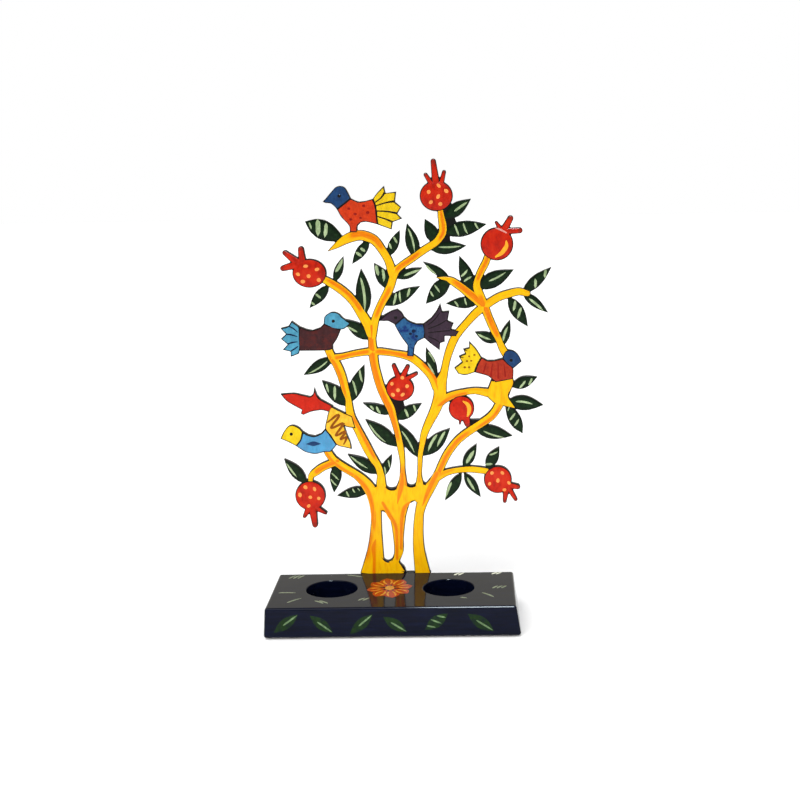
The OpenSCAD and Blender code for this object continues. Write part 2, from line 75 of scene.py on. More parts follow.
# Limbs run from the trunk outwards: [x, z, width] at each point, and then the soft orange
# strokes on it as (start, end, right, left, strength): start and end along the limb from
# 0 to 1, and across it from -1 at the right edge to 1 at the left, looking outwards.
LIMBS = {
    "left_leg": ([[-18.5, -1, 19.5], [-16, 18, 13], [-15, 33.5, 9.5], [-14.5, 47, 8.5],
        [-15.5, 59.5, 10], [-19, 68.5, 9.5], [-23.5, 74.5, 8.5], [-29.5, 80, 7], [-39, 86, 7],
        [-46.5, 92, 6.5], [-50.5, 98, 6.5]],
        [(0.31, 1.0, 0.1, 0.8, 1.0), (0.09, 0.31, 0.6, 1.1, 0.9)]),
    "left_twig": ([[-44.5, 90.5, 6.5], [-54.5, 86.5, 6.5], [-60.5, 82.5, 6.5], [-64.5, 79, 5],
        [-65, 73.5, 4]],
        [(-0.1, 0.65, -0.6, 0.6, 1.0)]),
    "left_limb": ([[-9.5, 64, 9], [-10, 73, 7.8], [-10, 79, 6.5], [-12, 86.5, 6], [-16.5, 94, 7],
        [-20.5, 102, 7.5], [-24, 109.5, 7], [-27.5, 117, 6.5], [-31.5, 125, 7], [-33, 132.5, 6.5],
        [-33.5, 140, 5.5], [-35.5, 147.5, 6.5], [-38, 158, 7], [-41.5, 167, 7], [-45, 172.5, 6.5],
        [-47.5, 178.5, 6.5]],
        [(0.25, 0.55, -0.9, -0.1, 1.0), (0.68, 0.95, 0.0, 0.8, 1.0)]),
    "main_limb": ([[5.5, 63, 12.5], [7, 74.5, 6.5], [7, 82.5, 4.5], [7, 91, 4.5], [6, 100, 5.5],
        [4.5, 109, 5.5], [3, 116.5, 5.5], [1, 124.5, 6], [-1, 132, 7], [-4.5, 139.5, 7],
        [-8, 148, 7], [-10.5, 157, 7], [-12.5, 166.5, 7], [-13.5, 176.5, 7.5], [-14, 185.5, 6.5],
        [-14, 194, 8]],
        [(-0.1, 0.2, -1.1, 1.1, 0.75), (0.35, 1.1, -0.4, 0.9, 1.0)]),
    "upper_left_fork": ([[-15, 190, 7], [-16.5, 196.5, 8], [-19, 201.5, 8], [-22.5, 207.5, 7.5],
        [-26.5, 214, 7], [-31.5, 220, 7], [-38, 225.5, 7], [-45, 230, 6.5], [-50.5, 233, 5.5]],
        [(0.35, 0.9, -0.8, 0.1, 1.0)]),
    "upper_right_fork": ([[-13.5, 188.5, 6.5], [-12.5, 194.5, 6.5], [-11, 201.5, 6.5],
        [-8.5, 208, 6.5], [-5, 215, 6.5], [-0.5, 223, 7], [2.5, 230.5, 6.5], [4, 237, 6.5]],
        [(0.3, 0.75, -0.5, 0.5, 0.8)]),
    "top_bird_perch": ([[3.5, 233.5, 6.5], [2, 239, 7], [0, 246, 6.5], [-5, 254.5, 6.5],
        [-10.5, 261.5, 7.5], [-19.5, 265, 8], [-27, 264, 8], [-33, 261.5, 7], [-39, 257.5, 4.5],
        [-45.5, 253.5, 0.5]],
        [(0.35, 0.72, -0.9, 0.3, 1.0)]),
    "top_limb": ([[3, 232.5, 6.5], [7, 239.5, 6], [17, 246.5, 6], [28, 254, 6], [36, 259, 6],
        [41, 265.5, 6.5], [41.5, 271.5, 6.5], [40.5, 278, 5.5], [40, 283.5, 4.5]],
        [(0.12, 0.42, -0.5, 0.6, 1.0), (0.66, 0.98, -0.6, 0.3, 1.0)]),
    "cross_limb_left": ([[-14, 176.5, 6.5], [-17.5, 176.5, 6], [-28, 175, 5.5], [-37, 173, 5.5],
        [-43.5, 172, 6.5]],
        [(0.15, 0.9, -0.6, 0.5, 1.0)]),
    "cross_limb_right": ([[-12.5, 176, 5.5], [-8, 176.5, 6], [2.5, 175, 5.5], [13.5, 172.5, 6.5],
        [20.5, 168, 6.5], [27, 161.5, 6.5], [31.5, 155.5, 6.5], [34.5, 148, 7]],
        [(0.05, 0.5, -0.6, 0.6, 1.0), (0.62, 1.1, 0.2, 1.1, 1.0)]),
    "long_limb": ([[20, 61.5, 11], [20, 72, 6.5], [20, 78.5, 4], [20.5, 86.5, 4], [21, 95, 4.5],
        [22.5, 103, 5], [24.5, 112, 6], [28.5, 121, 7], [33.5, 131, 8.5], [37, 141.5, 10],
        [37.5, 150, 10], [40.5, 159.5, 6.5], [42.5, 168.5, 6], [45.5, 178, 6.5], [50, 187.5, 6.5],
        [57.5, 196.5, 6], [65, 204.5, 6.5], [72, 210, 6.5], [82, 216.5, 6.5], [91, 219.5, 6.5],
        [98.5, 221, 6], [104.5, 219.5, 5.5]],
        [(0.02, 0.17, -0.5, 0.5, 0.6)]),
    "right_fruit_twig": ([[75.5, 249.5, 5.5], [73.5, 243.5, 6], [70, 237, 6], [67, 230, 5.5],
        [66.5, 225, 6.5], [68.5, 219, 7], [72, 210.5, 7]],
        [(0.05, 0.5, -0.5, 0.5, 1.0), (0.75, 1.1, -0.6, 0.6, 0.8)]),
    "right_limb": ([[36.5, 232.5, 1], [40, 232, 3], [43.5, 231.5, 4], [48, 229.5, 6],
        [54.5, 225, 6.5], [60, 220.5, 7], [66, 215.5, 7.5], [72, 209.5, 7], [75, 202, 6.5],
        [79, 192.5, 6.5], [82.5, 185, 5.5], [85.5, 177.5, 6], [88, 173.5, 6.5]],
        [(0.15, 0.8, -0.5, 0.8, 1.0)]),
    "arch": ([[35.5, 134.5, 7], [39.5, 138, 6.5], [46, 141.5, 6.5], [55.5, 144, 5.5],
        [64.5, 145, 5.5], [73, 143.5, 7], [81.5, 142.5, 9.5]],
        [(-0.1, 0.5, -0.9, 0.0, 1.0), (0.2, 0.9, 0.1, 0.9, 0.3)]),
    "right_leg": ([[84, 140, 9.5], [82, 133, 7], [76.5, 125, 7], [68, 119, 6.5],
        [59.5, 113.5, 6.5], [51, 107, 6.5], [45, 100, 6.5], [40.5, 93, 6.5], [36.5, 84.5, 6.5],
        [33, 76.5, 7], [27, 67.5, 9], [22.5, 59, 9], [19.5, 49, 7.5], [18.5, 39.5, 8],
        [18, 29, 8.5], [18.5, 16.5, 9.5], [21, -1.5, 12.5]],
        [(0.05, 0.22, 0.0, 0.8, 0.9), (0.25, 0.6, -0.5, 0.6, 1.0)]),
    "low_right_twig": ([[33.5, 76.5, 6.5], [41, 80.5, 5.5], [50, 82.5, 5], [60.5, 83, 5.5],
        [72, 81.5, 5.5]],
        [(-0.1, 0.4, -0.2, 0.9, 0.5)]),
    "middle_leg": ([[4.5, 59, 12], [2.5, 49.5, 14], [2.5, 38, 10.5], [2.5, 26.5, 8],
        [2.5, 17, 7.5], [0, 10, 6.2], [-2, 5, 14], [-3.5, -2, 24]],
        []),
}

# Soft orange brush marks on the trunk: [x, z, width] at each point.
TRUNK_MARKS = [
    [[-30.2, 79, 3], [-25.7, 74.5, 4.2], [-20.2, 66, 4.8], [-17.4, 55, 4], [-17.2, 42, 2.4],
     [-17, 36, 0.6]],
    [[-15.5, 27.6, 0.6], [-16.6, 24, 3.6], [-17.4, 20, 5], [-17, 12, 3.4], [-17.4, 0.6, 3.6]],
    [[-9, 57, 3], [-4.4, 48, 4], [0.4, 38.7, 3.6], [1.2, 28, 3.2], [1, 11.6, 2.8]],
    [[11.6, 57.2, 2], [7.8, 53, 4], [5.7, 45.3, 4], [4.8, 33.7, 3.6], [4.4, 20, 2.8]],
    [[6.6, 80, 3.4], [6.4, 74, 4.6], [5.4, 69, 5], [4, 63.5, 4], [2.2, 56, 0.6]],
    [[33.6, 80, 4.4], [29.5, 72.3, 5], [25, 62.3, 3.8], [21.8, 54, 0.6]],
]

# The fork where the limbs leave the trunk.
TRUNK_FORK = [[-23.5, 71.5], [-15, 70.2], [-12, 73], [-8, 73.5], [-6.6, 70.6], [-4.8, 68.4],
              [-2.4, 67.5], [0.2, 67.7], [2.2, 69], [3.6, 71.4], [4.6, 74.4], [8.6, 74.6],
              [9.4, 71.8], [10.9, 70.2], [13.2, 69.7], [15.4, 70], [17.3, 71.2], [18.5, 74],
              [21, 75], [22.4, 72.6], [24.4, 71.2], [26.4, 72.2], [33.5, 73], [24.5, 55.5],
              [20, 51], [16.5, 58.5], [12, 56], [8, 44.5], [0.5, 36.5], [-7, 48.5], [-10, 50.5],
              [-14.5, 47], [-19.5, 57]]

# The foot between the trunk's left legs.
TRUNK_FOOT = [[-14, 0.3], [-14, 14], [-10.6, 13], [-9.2, 10.6], [-6.4, 9], [-3.6, 10],
              [-1.8, 13.4], [1.2, 13.5], [2.4, 9.4], [5.2, 5], [8, 0.3]]

# The knot where the arch and the right limb meet.
KNOT = [[80, 153], [93.5, 155], [94, 150.5], [92, 145.5], [90, 140], [96.5, 130], [86.5, 132.5],
        [79.5, 134.5], [71, 142.5], [74, 147], [76.5, 153.5]]

# Leaves: [x, z of the broad end, x, z of the narrow end, width], and the pale strokes on
# each: [along, across, along, across, width] from one end of the stroke to the other, with
# along from 0 at the broad end to 1, and across from -1 at the right edge to 1.
LEAVES = [
    ([-62, 276, -32, 261, 15], [[0.25, 0.9, 0.4, -0.8, 3.2], [0.45, 0.8, 0.55, -0.65, 2.4],
        [0.1, 0.2, 0.2, -0.6, 1.2]]),
    ([-14, 261.5, -27.5, 243.5, 8], [[0.4, -0.45, 0.4, 0.7, 1.8], [0.6, -0.8, 0.6, 0.8, 1.8]]),
    ([0, 248.5, 9, 268.5, 8], [[0.7, 0.85, 0.55, -0.6, 1.4], [0.45, 0.85, 0.3, 0, 1.4]]),
    ([1.5, 223.5, -11, 244, 10.5], [[0.9, -0.35, 0.6, 0.5, 2.2], [0.7, -0.85, 0.35, 0.25, 1.8]]),
    ([6, 232, 25.5, 240, 7.5], [[0.3, -0.05, 0.9, -0.85, 1.6]]),
    ([-18.5, 204, -21, 240, 12], [[0.8, 0.25, 0.1, 0.1, 1.8]]),
    ([-41.5, 229.5, -34, 249.5, 7], [[0.4, 0.5, 0.9, -0.1, 2.2]]),
    ([-45.5, 228, -61, 210.5, 8.5], [[0.5, -0.85, 0.5, 0.5, 1.6], [0.8, -0.85, 0.8, 0.8, 1.4]]),
    ([42, 276.5, 63, 291, 10.5], [[0.4, -0.05, 0.85, -0.2, 1.6]]),
    ([41, 266, 74.5, 272, 12], [[0.3, 0.85, 0.35, -0.85, 1.2], [0.5, 0.7, 0.55, -0.85, 1.2],
        [0.75, 0.75, 0.8, -0.85, 1.2]]),
    ([31.5, 253.5, 59, 256, 10], [[0.25, 0.35, 0.85, 0.15, 1.2]]),
    ([37.5, 257, 28, 276.5, 10.5], []),
    ([21.5, 246.5, 14.5, 273.5, 10.5], [[0.85, 0, 0.2, 0.05, 1.2]]),
    ([-4, 211.5, 23.5, 226, 10], [[0.4, 0.85, 0.2, -0.85, 1.6], [0.5, 0.85, 0.4, -0.8, 1.2],
        [0.75, 0.85, 0.6, -0.55, 1.6]]),
    ([46.5, 231, 26, 244.5, 6.5], [[0.85, 0.8, 0.45, 0.85, 1.4]]),
    ([46.5, 232.5, 27.5, 212.5, 12], [[0.45, -0.85, 0.5, 0.35, 1.2],
        [0.65, -0.85, 0.7, 0.2, 1.2]]),
    ([63.5, 220.5, 53.5, 248.5, 10.5], [[0.5, 0.85, 0.6, -0.5, 1.4], [0.35, 0.7, 0.4, -0.7, 1.4]]),
    ([66, 224, 94.5, 237.5, 12.5], [[0.35, 0.1, 0.8, 0.35, 1.2]]),
    ([69, 213.5, 43, 212.5, 9], [[0.45, -0.85, 0.4, 0.5, 1], [0.75, -0.55, 0.65, 0.85, 1.2]]),
    ([100.5, 219, 123, 239, 9], [[0.5, 0.4, 0.35, -0.85, 1.8], [0.85, 0.85, 0.7, -0.85, 1.8]]),
    ([90, 217, 105, 194, 10.5], [[0.2, 0.8, 0.4, -0.55, 1.8], [0.45, 0.75, 0.65, -0.8, 1.8]]),
    ([100.5, 220.5, 120.5, 204.5, 7.5], [[0.3, -0.15, 0.85, -0.85, 1.6]]),
    ([82, 182.5, 64.5, 190.5, 8.5], [[0.85, 0.3, 0.3, 0.1, 1.4]]),
    ([84.5, 178.5, 91.5, 199.5, 7.5], [[0.25, 0.05, 0.75, 0.05, 1.6]]),
    ([92, 147.5, 112, 155, 9.5], [[0.55, 0.15, 0.25, -0.85, 1.4], [0.8, 0.3, 0.6, -0.85, 1.4]]),
    ([88.5, 136.5, 116.5, 133, 12], [[0.25, 0.15, 0.7, 0, 1.4]]),
    ([100.5, 111, 87, 136, 10], [[0.3, 0.55, 0.4, -0.6, 1.4], [0.5, 0.75, 0.6, -0.7, 1.4],
        [0.75, 0.45, 0.85, -0.85, 0.8]]),
    ([63, 115, 92.5, 109, 11], [[0.25, -0.05, 0.8, -0.85, 1.2]]),
    ([22.5, 94, 44.5, 115.5, 12], [[0.65, 0.85, 0.2, -0.1, 1.8], [0.85, 0.55, 0.45, -0.5, 1.8]]),
    ([54, 83.5, 65, 103, 8.5], [[0.25, -0.05, 0.75, -0.2, 2.4]]),
    ([72, 83, 82.5, 100.5, 9.5], [[0.55, 0.85, 0.8, -0.2, 1.2], [0.15, 0.85, 0.3, -0.55, 1.6]]),
    ([53, 80, 39.5, 58, 8.5], [[0.4, -0.85, 0.9, -0.85, 1.6]]),
    ([54.5, 80, 67.5, 60.5, 8], [[0.2, 0.1, 0.7, -0.25, 1.6]]),
    ([34.5, 154.5, 27, 179, 7.5], [[0.85, -0.6, 0.5, -0.85, 1], [0.55, 0.7, 0.15, 0.05, 1.2]]),
    ([-33, 134, -53.5, 154.5, 12], [[0.85, -0.3, 0.65, 0.65, 1.4], [0.65, -0.85, 0.4, 0.7, 1.8]]),
    ([-33, 136, -20.5, 166.5, 11], [[0.55, 0.8, 0.25, -0.75, 1.4], [0.85, 0.85, 0.6, -0.8, 1.4]]),
    ([0, 127.5, -22.5, 136.5, 7.5], [[0.75, -0.05, 0.6, 0.65, 1.4],
        [0.55, -0.4, 0.35, 0.85, 1.6]]),
    ([2, 123, 23, 135.5, 9.5], [[0.45, 0.75, 0.4, -0.85, 1.6], [0.75, 0.85, 0.7, -0.85, 1.4]]),
    ([4, 101.5, -21, 123.5, 11], [[0.85, 0.3, 0.3, 0.7, 1.2]]),
    ([20.5, 92, 5, 120, 10], [[0.8, 0.4, 0.2, 0.35, 1.2]]),
    ([-68, 73, -85, 93, 9.5], [[0.85, 0.45, 0.35, 0.5, 1.2]]),
    ([-44, 89.5, -47, 65.5, 9.5], [[0.35, -0.8, 0.55, 0.65, 1], [0.55, -0.85, 0.75, 0.65, 1]]),
    ([-19, 67.5, -44.5, 63, 9], [[0.5, -0.85, 0.45, 0, 1], [0.7, -0.75, 0.65, 0.7, 1.2],
        [0.35, -0.8, 0.3, -0.15, 0.6]]),
    ([-11.5, 80, -35.5, 96, 10], [[0.9, -0.2, 0.35, 0.15, 1.2]]),
    ([-10, 77, -1, 95.5, 7], [[0.75, 0.4, 0.5, -0.85, 1], [0.45, 0.4, 0.2, -0.85, 1]]),
    ([-44, 172, -67.5, 159, 9.5], [[0.2, -0.05, 0.85, 0.4, 1]]),
    ([-14.5, 185.5, -35.5, 202, 10.5], [[0.75, 0.85, 0.45, 0.3, 1.4]]),
]

# Pomegranates: centre, the two radii, the crown's spikes, each as [x, z at the root, x, z at
# the tip, width at the root, width at the tip], and its pale dots or one pale crescent. One
# fruit also has a painted highlight: a pale pink stroke at its crown that stands in for light
# glinting there. A crescent or the painted highlight is [x, z, width] at each point.
POMEGRANATES = {
    "pomegranate_top": dict(
        centre=[37, 293.5], radii=[12.5, 11.5],
        spikes=[[37, 302.5, 35, 321, 6, 4], [33.5, 302.5, 28.5, 310.5, 4, 3],
            [41, 303, 43.5, 312.5, 4, 3]],
        dots=[[39, 301], [31.5, 296.5], [44.5, 297], [38.5, 293], [33, 289], [40, 287.5]]),
    "pomegranate_upper_left": dict(
        centre=[-60, 237], radii=[13, 11],
        spikes=[[-65, 245.5, -66, 257.5, 6, 4.5], [-69, 245.5, -79.5, 254, 6.5, 4],
            [-70.5, 243.5, -82, 240.5, 6, 4.5]],
        dots=[[-62.5, 242.5], [-54, 240], [-68.5, 236.5], [-60.5, 235], [-53, 232], [-65, 231]]),
    "pomegranate_upper_right": dict(
        centre=[82, 257], radii=[12.5, 12.5],
        spikes=[[87.5, 267.5, 93.5, 278, 6, 4.5], [87.5, 266.5, 101.5, 267, 5, 4.5],
            [86.5, 266, 81, 274, 4.5, 2.5]],
        crescent=[[89, 259, 1.2], [89.2, 256, 2.8], [88, 253.5, 3.4], [85, 250, 3],
            [81, 247.5, 1.2]],
        # painted highlight: pale pink paint for light glinting on the crown
        painted_highlight=[[81, 269.2, 0.5], [84.5, 267.8, 1.6], [89, 265.5, 1.2]]),
    "pomegranate_middle": dict(
        centre=[6.5, 147.5], radii=[11, 10],
        spikes=[[6.5, 153.5, 1.5, 167, 5, 3.5], [7.5, 154, 13.5, 166, 5.5, 3.5],
            [9.5, 154, 20.5, 159.5, 4.5, 3]],
        dots=[[8.5, 156], [0.5, 151.5], [12, 149.5], [5, 146.5], [1, 143], [8.5, 143]]),
    "pomegranate_right": dict(
        centre=[53.5, 131.5], radii=[10, 10],
        spikes=[[56, 127, 58.5, 116.5, 8, 4.5], [53, 125.5, 52, 118.5, 3, 1.5]],
        crescent=[[55, 137, 1.2], [58, 134.8, 2.8], [59.5, 131.5, 3.2], [59, 128, 2.6],
            [58, 125.5, 1.2]]),
    "pomegranate_low_left": dict(
        centre=[-65.5, 63.5], radii=[12, 12],
        spikes=[[-65.5, 56, -71.5, 45.5, 6.5, 3], [-64.5, 56, -62.5, 37.5, 7, 4.5],
            [-63, 54.5, -53, 48.5, 5.5, 2.5]],
        dots=[[-69, 70.5], [-62, 69], [-73.5, 64.5], [-65.5, 62.5], [-59, 61.5], [-67, 55.5]]),
    "pomegranate_low_right": dict(
        centre=[81, 74.5], radii=[11, 11],
        spikes=[[88, 70, 98.5, 68, 5.5, 4], [89, 68.5, 95.5, 57, 4.5, 3],
            [87.5, 67.5, 86, 55.5, 5.5, 3]],
        dots=[[76.5, 80], [84.5, 80], [81, 74], [74.5, 71.5], [89.5, 72], [86, 66.5]]),
}

# The spiky red blossom's outline.
BLOSSOM = [[-85.5, 144.5], [-75, 145], [-63, 142], [-60.5, 144], [-59.5, 149], [-57.5, 143],
           [-55, 140], [-45.5, 134.5], [-48.5, 130], [-54.5, 131.5], [-62, 130.5], [-68.5, 128],
           [-70.5, 129], [-69.5, 132], [-76.5, 136], [-81.5, 139.5]]

# Birds: the outlines of body, head and tail with the paint of each, the eye, and what is
# drawn on them in each paint: lines as [x, z, width] at each point, and [x, z, radius] spots.
BIRDS = {
    "bird_top": dict(
        body=[[-27, 292.5], [-24, 291], [-21, 290], [-16, 290.5], [-10.5, 292], [-8.5, 285.5],
            [-7.5, 273], [-11, 274], [-16, 275], [-20, 274.5], [-22.5, 272], [-23, 267.5],
            [-28.5, 267.5], [-28.5, 271.5], [-30.5, 274.5], [-34.5, 279], [-37.5, 284.5]],
        head=[[-27, 292.5], [-29.5, 298], [-31.5, 301], [-34.5, 302], [-38, 301], [-41.5, 297.5],
            [-45.5, 293], [-48, 290.5], [-46, 289.5], [-42, 289], [-39, 286.5], [-37.5, 284.5]],
        tail=[[-10.5, 292], [-7, 296.5], [-2, 301.5], [-1, 296], [7, 297], [6, 289.5],
            [10.5, 285.5], [7.5, 280.5], [11, 277], [4, 274.5], [3, 269], [-7.5, 273],
            [-8.5, 285.5]],
        paints=("red_orange", "deep_blue", "yellow"), eye=[-35.5, 294.5],
        lines={
            "ink": [[[-8.5, 289.5, 0.8], [-4, 293, 1.1], [-1.2, 297, 1.6]],
                [[-8, 287, 0.8], [0, 289.2, 1.1], [6.2, 290, 1.6]],
                [[-7.8, 283, 0.8], [0, 282.5, 1.1], [7.8, 281, 1.6]],
                [[-7.5, 279, 0.8], [-1, 276.8, 1.1], [4.2, 274.5, 1.6]]]},
        spots={
            "dark_red": [[-28.5, 285, 1.1], [-17.5, 287, 1.2], [-24, 281, 1.2], [-14.5, 282, 1.3],
                [-27.5, 277, 1.2], [-20, 278, 1.0]]}),
    "bird_left": dict(
        body=[[-50.5, 198.5], [-53.5, 195.5], [-59.5, 193.5], [-64, 194.5], [-69, 196.5],
            [-70, 187], [-69.5, 178], [-50, 178], [-44, 179], [-44, 182], [-40.5, 187],
            [-37.5, 194]],
        head=[[-50.5, 198.5], [-49.5, 204], [-45.5, 207], [-42.5, 207.5], [-38.5, 206], [-36, 203],
            [-30, 198.5], [-34, 195], [-37.5, 194], [-44, 195]],
        tail=[[-69, 196.5], [-75, 201], [-77.5, 197], [-83.5, 195.5], [-79.5, 191], [-83.5, 187.5],
            [-78.5, 183], [-82.5, 179], [-76.5, 177.5], [-76.5, 173.5], [-72.5, 175],
            [-69.5, 178]],
        paints=("brown_red", "teal", "teal"), eye=[-43, 200.5],
        lines={
            "navy": [[[-70.5, 192.5, 0.5], [-74, 195.5, 1.0], [-77, 197, 0.9]],
                [[-71, 189, 0.5], [-75.5, 190.5, 1.1], [-79, 191, 0.9]],
                [[-71, 185, 0.5], [-75, 184.5, 1.1], [-78, 183.5, 0.9]],
                [[-70.5, 181.5, 0.5], [-73.5, 179.5, 1.1], [-76, 178, 0.9]]]},
        spots={}),
    "bird_middle": dict(
        body=[[11, 203], [13.5, 200.5], [16, 199], [20, 197.5], [25.5, 197.5], [26.5, 192],
            [26, 186.5], [21, 184], [18.5, 180], [17.5, 172.5], [12.5, 173], [13, 181], [9.5, 186],
            [6, 192], [3.5, 197]],
        head=[[11, 203], [9.5, 206], [6, 209], [2, 208], [-1.5, 206], [-7.5, 201], [-5.5, 200],
            [-1.5, 200], [2.5, 198], [4, 197]],
        tail=[[25.5, 197.5], [31.5, 202], [35.5, 207], [38.5, 213], [40, 206.5], [45.5, 207],
            [44, 199.5], [48.5, 197.5], [46.5, 193], [52.5, 191.5], [50, 187.5], [41.5, 188],
            [41.5, 183.5], [38, 182.5], [37.5, 177], [31, 182], [26, 186.5]],
        paints=("mid_blue", "plum", "plum"), eye=[4.5, 202.5],
        lines={
            "ink": [[[29, 196.5, 0.4], [34, 200.5, 0.7], [38, 205.5, 0.5]],
                [[29, 193.5, 0.4], [37, 196.5, 0.7], [43, 200, 0.5]],
                [[29, 190.5, 0.4], [38, 191.5, 0.7], [45.5, 192, 0.5]],
                [[29, 187.5, 0.4], [34, 185.5, 0.7], [37.5, 183, 0.5]]]},
        spots={
            "navy": [[18, 192, 1.6], [15.5, 190, 1.2], [20, 188, 1.2]]}),
    "bird_low": dict(
        body=[[-69.5, 114.5], [-65.5, 112], [-60.5, 111], [-55.5, 113], [-52, 117], [-48, 111],
            [-43.5, 104], [-46.5, 100.5], [-49, 98.5], [-53, 98.5], [-60.5, 97], [-67.5, 98.5],
            [-71, 100.5], [-75, 103.5], [-71.5, 108]],
        head=[[-69.5, 114.5], [-72.5, 118], [-77, 120], [-81, 119], [-84.5, 114.5], [-87, 109.5],
            [-81.5, 107], [-75, 103.5], [-71.5, 108]],
        tail=[[-52, 117], [-50.5, 125], [-49, 130.5], [-47, 134.5], [-41.5, 131.5], [-36.5, 129],
            [-31, 126.5], [-28.5, 117], [-35, 118], [-37.5, 119.5], [-35.5, 112.5], [-33, 106],
            [-32, 100.5], [-37.5, 102], [-43.5, 104], [-48, 111]],
        paints=("light_blue", "yellow", "ochre"), eye=[-78.5, 113],
        lines={
            "brown": [[[-50, 122, 1.2], [-42.5, 127.5, 2], [-41.5, 126, 2], [-47.5, 117.5, 1.6],
                [-38.5, 121, 2], [-38.5, 119.5, 2], [-44, 111.5, 1.6], [-37, 114.5, 2],
                [-37, 113, 2], [-40.5, 108.5, 1.6], [-36, 110, 1.8], [-36.5, 107.5, 1.6],
                [-38, 104.5, 1]]],
            "deep_blue": [[[-67, 105, 0.4], [-64, 105.2, 2.6], [-61.5, 105.2, 3.8],
                [-59, 105.2, 2.6], [-56, 105, 0.4]]]},
        spots={}),
    "bird_right": dict(
        body=[[69.5, 171], [74, 168.5], [79, 168.5], [85.5, 170], [89.5, 166], [93.5, 162],
            [93.5, 154], [80, 151.5], [77, 154], [74, 156.5], [64, 159.5], [66.5, 166]],
        head=[[85.5, 170], [87, 174.5], [90.5, 176.5], [94.5, 175.5], [98, 172], [100, 167.5],
            [96.5, 164.5], [93.5, 162], [89, 165.5]],
        tail=[[69.5, 171], [65.5, 177.5], [60, 183.5], [60, 178.5], [55.5, 177.5], [57, 174],
            [52, 172], [54.5, 167.5], [48.5, 163], [51.5, 158.5], [57, 157.5], [64, 159.5],
            [66.5, 166]],
        paints=("rust", "deep_blue", "yellow"), eye=[92, 168.5],
        lines={
            "dark_red": [[[73, 166.5, 0.6], [71, 160, 1.4]],
                [[77.5, 166, 0.6], [76.5, 156.5, 1.4]], [[82, 166.5, 0.6], [82, 155, 1.4]],
                [[86.5, 165.5, 0.6], [87.5, 156, 1.2]]],
            "ink": [[[55.5, 177.3, 1.2], [58.5, 176.2, 0.4]],
                [[52, 171.8, 1.2], [55.5, 171, 0.4]]]},
        spots={
            "brown": [[64, 173, 0.85], [60, 172, 0.8], [61.5, 168.5, 0.8], [58.3, 168.3, 0.85],
                [56.5, 163.5, 1.0], [59.8, 163.5, 0.85]]}),
}

# ---------------------------------------------------------------- paint on the block, in mm

# Leaves along the front: [x, z of one tip, x, z of the other, width], then pale strokes.
FRONT_LEAVES = [
    ([-86, 5.5, -67.5, 19.5, 8], [[0.4, 0.05, 0.95, -0.1, 1.3]]),
    ([-59, 18.5, -42.5, 5, 8], [[0.35, -0.1, 0.95, 0.1, 1.3]]),
    ([-30, 4, -13, 19, 8], [[0.4, 0.05, 0.95, -0.1, 1.3]]),
    ([-5.5, 17, 12, 5, 8], [[0.35, -0.1, 0.95, 0.1, 1.3]]),
    ([25, 6.5, 42, 19, 9], [[0.15, 0.6, 0.35, -0.7, 1.2], [0.4, 0.8, 0.6, -0.8, 1.2],
                            [0.65, 0.9, 0.85, -0.8, 1.2]]),
    ([56.5, 18.5, 75.5, 5, 9], [[0.35, -0.1, 0.95, 0.1, 1.3]]),
]

# Pale strokes on the top, side by side: [x, y at one end, x, y at the other, how many, paint].
TOP_STROKES = [
    [-83, 28.5, -78.5, 36, 3, "faint"], [-86.5, -5, -73.5, -5.5, 1, "faint"],
    [-77, -27, -67.5, -17.5, 1, "faint"], [-57, -23.5, -50, -30, 2, "faint"],
    [-38, 35, -25.5, 30, 1, "faint"], [-24.5, -24, -20, -18.5, 2, "faint"],
    [46, 32, 50.5, 38, 2, "bright"], [75.5, 33.5, 80, 38, 2, "bright"],
    [75.5, 0, 79.5, 5.5, 3, "faint"], [67.5, -10, 76, -20, 1, "faint"],
    [51, -19.5, 56, -21.5, 1, "faint"],
]
STROKE_GAP = 3.4                   # between two strokes that lie side by side

# The round flower between the wells.
FLOWER = dict(centre=(-3, 3.5), inner=3.5, outer=17.5, stretch=1.3, petals=8, petal_width=12)

# ---------------------------------------------------------------- shapes


def on_curve(a, b, c, d, t):
    """The point at t, from 0 at b to 1 at c, of a Catmull-Rom curve through four points."""
    return 0.5 * (2 * b + (c - a) * t + (2 * a - 5 * b + 4 * c - d) * t ** 2
                  + (3 * b - a - 3 * c + d) * t ** 3)


def spline(points, step=1.0):
    """A Catmull-Rom curve through the points, with a point about every step mm."""
    p = np.array(points, float)
    last = len(p) - 1
    made = []
    for i in range(last):
        a, b, c, d = p[max(0, i - 1)], p[i], p[i + 1], p[min(last, i + 2)]
        count = max(1, round(float(np.linalg.norm((c - b)[:2])) / step))
        made += [on_curve(a, b, c, d, k / count) for k in range(count)]
    return np.array(made + [p[last]])


def corner_angles(loop):
    """The turn at each point of a closed loop, in degrees."""
    before = loop - np.roll(loop, 1, 0)
    after = np.roll(loop, -1, 0) - loop
    cross = before[:, 0] * after[:, 1] - before[:, 1] * after[:, 0]
    return np.degrees(np.arctan2(cross, (before * after).sum(1)))


def counter_clockwise(loop):
    """The closed loop, turned round if it runs clockwise."""
    following = np.roll(loop, -1, 0)
    area = (loop[:, 0] * following[:, 1] - loop[:, 1] * following[:, 0]).sum()
    return loop if area > 0 else loop[::-1]


def drawn(points, sharp=45, step=0.9):
    """A closed outline: smooth through its points, except where it turns sharply."""
    p = counter_clockwise(np.array(points, float))
    corner = np.abs(corner_angles(p)) > sharp
    n = len(p)
    made = []
    for i in range(n):
        b, c = p[i], p[(i + 1) % n]
        a = 2 * b - c if corner[i] else p[i - 1]
        d = 2 * c - b if corner[(i + 1) % n] else p[(i + 2) % n]
        count = max(2, round(float(np.linalg.norm(c - b)) / step))
        made += [on_curve(a, b, c, d, k / count) for k in range(count)]
    return np.array(made)


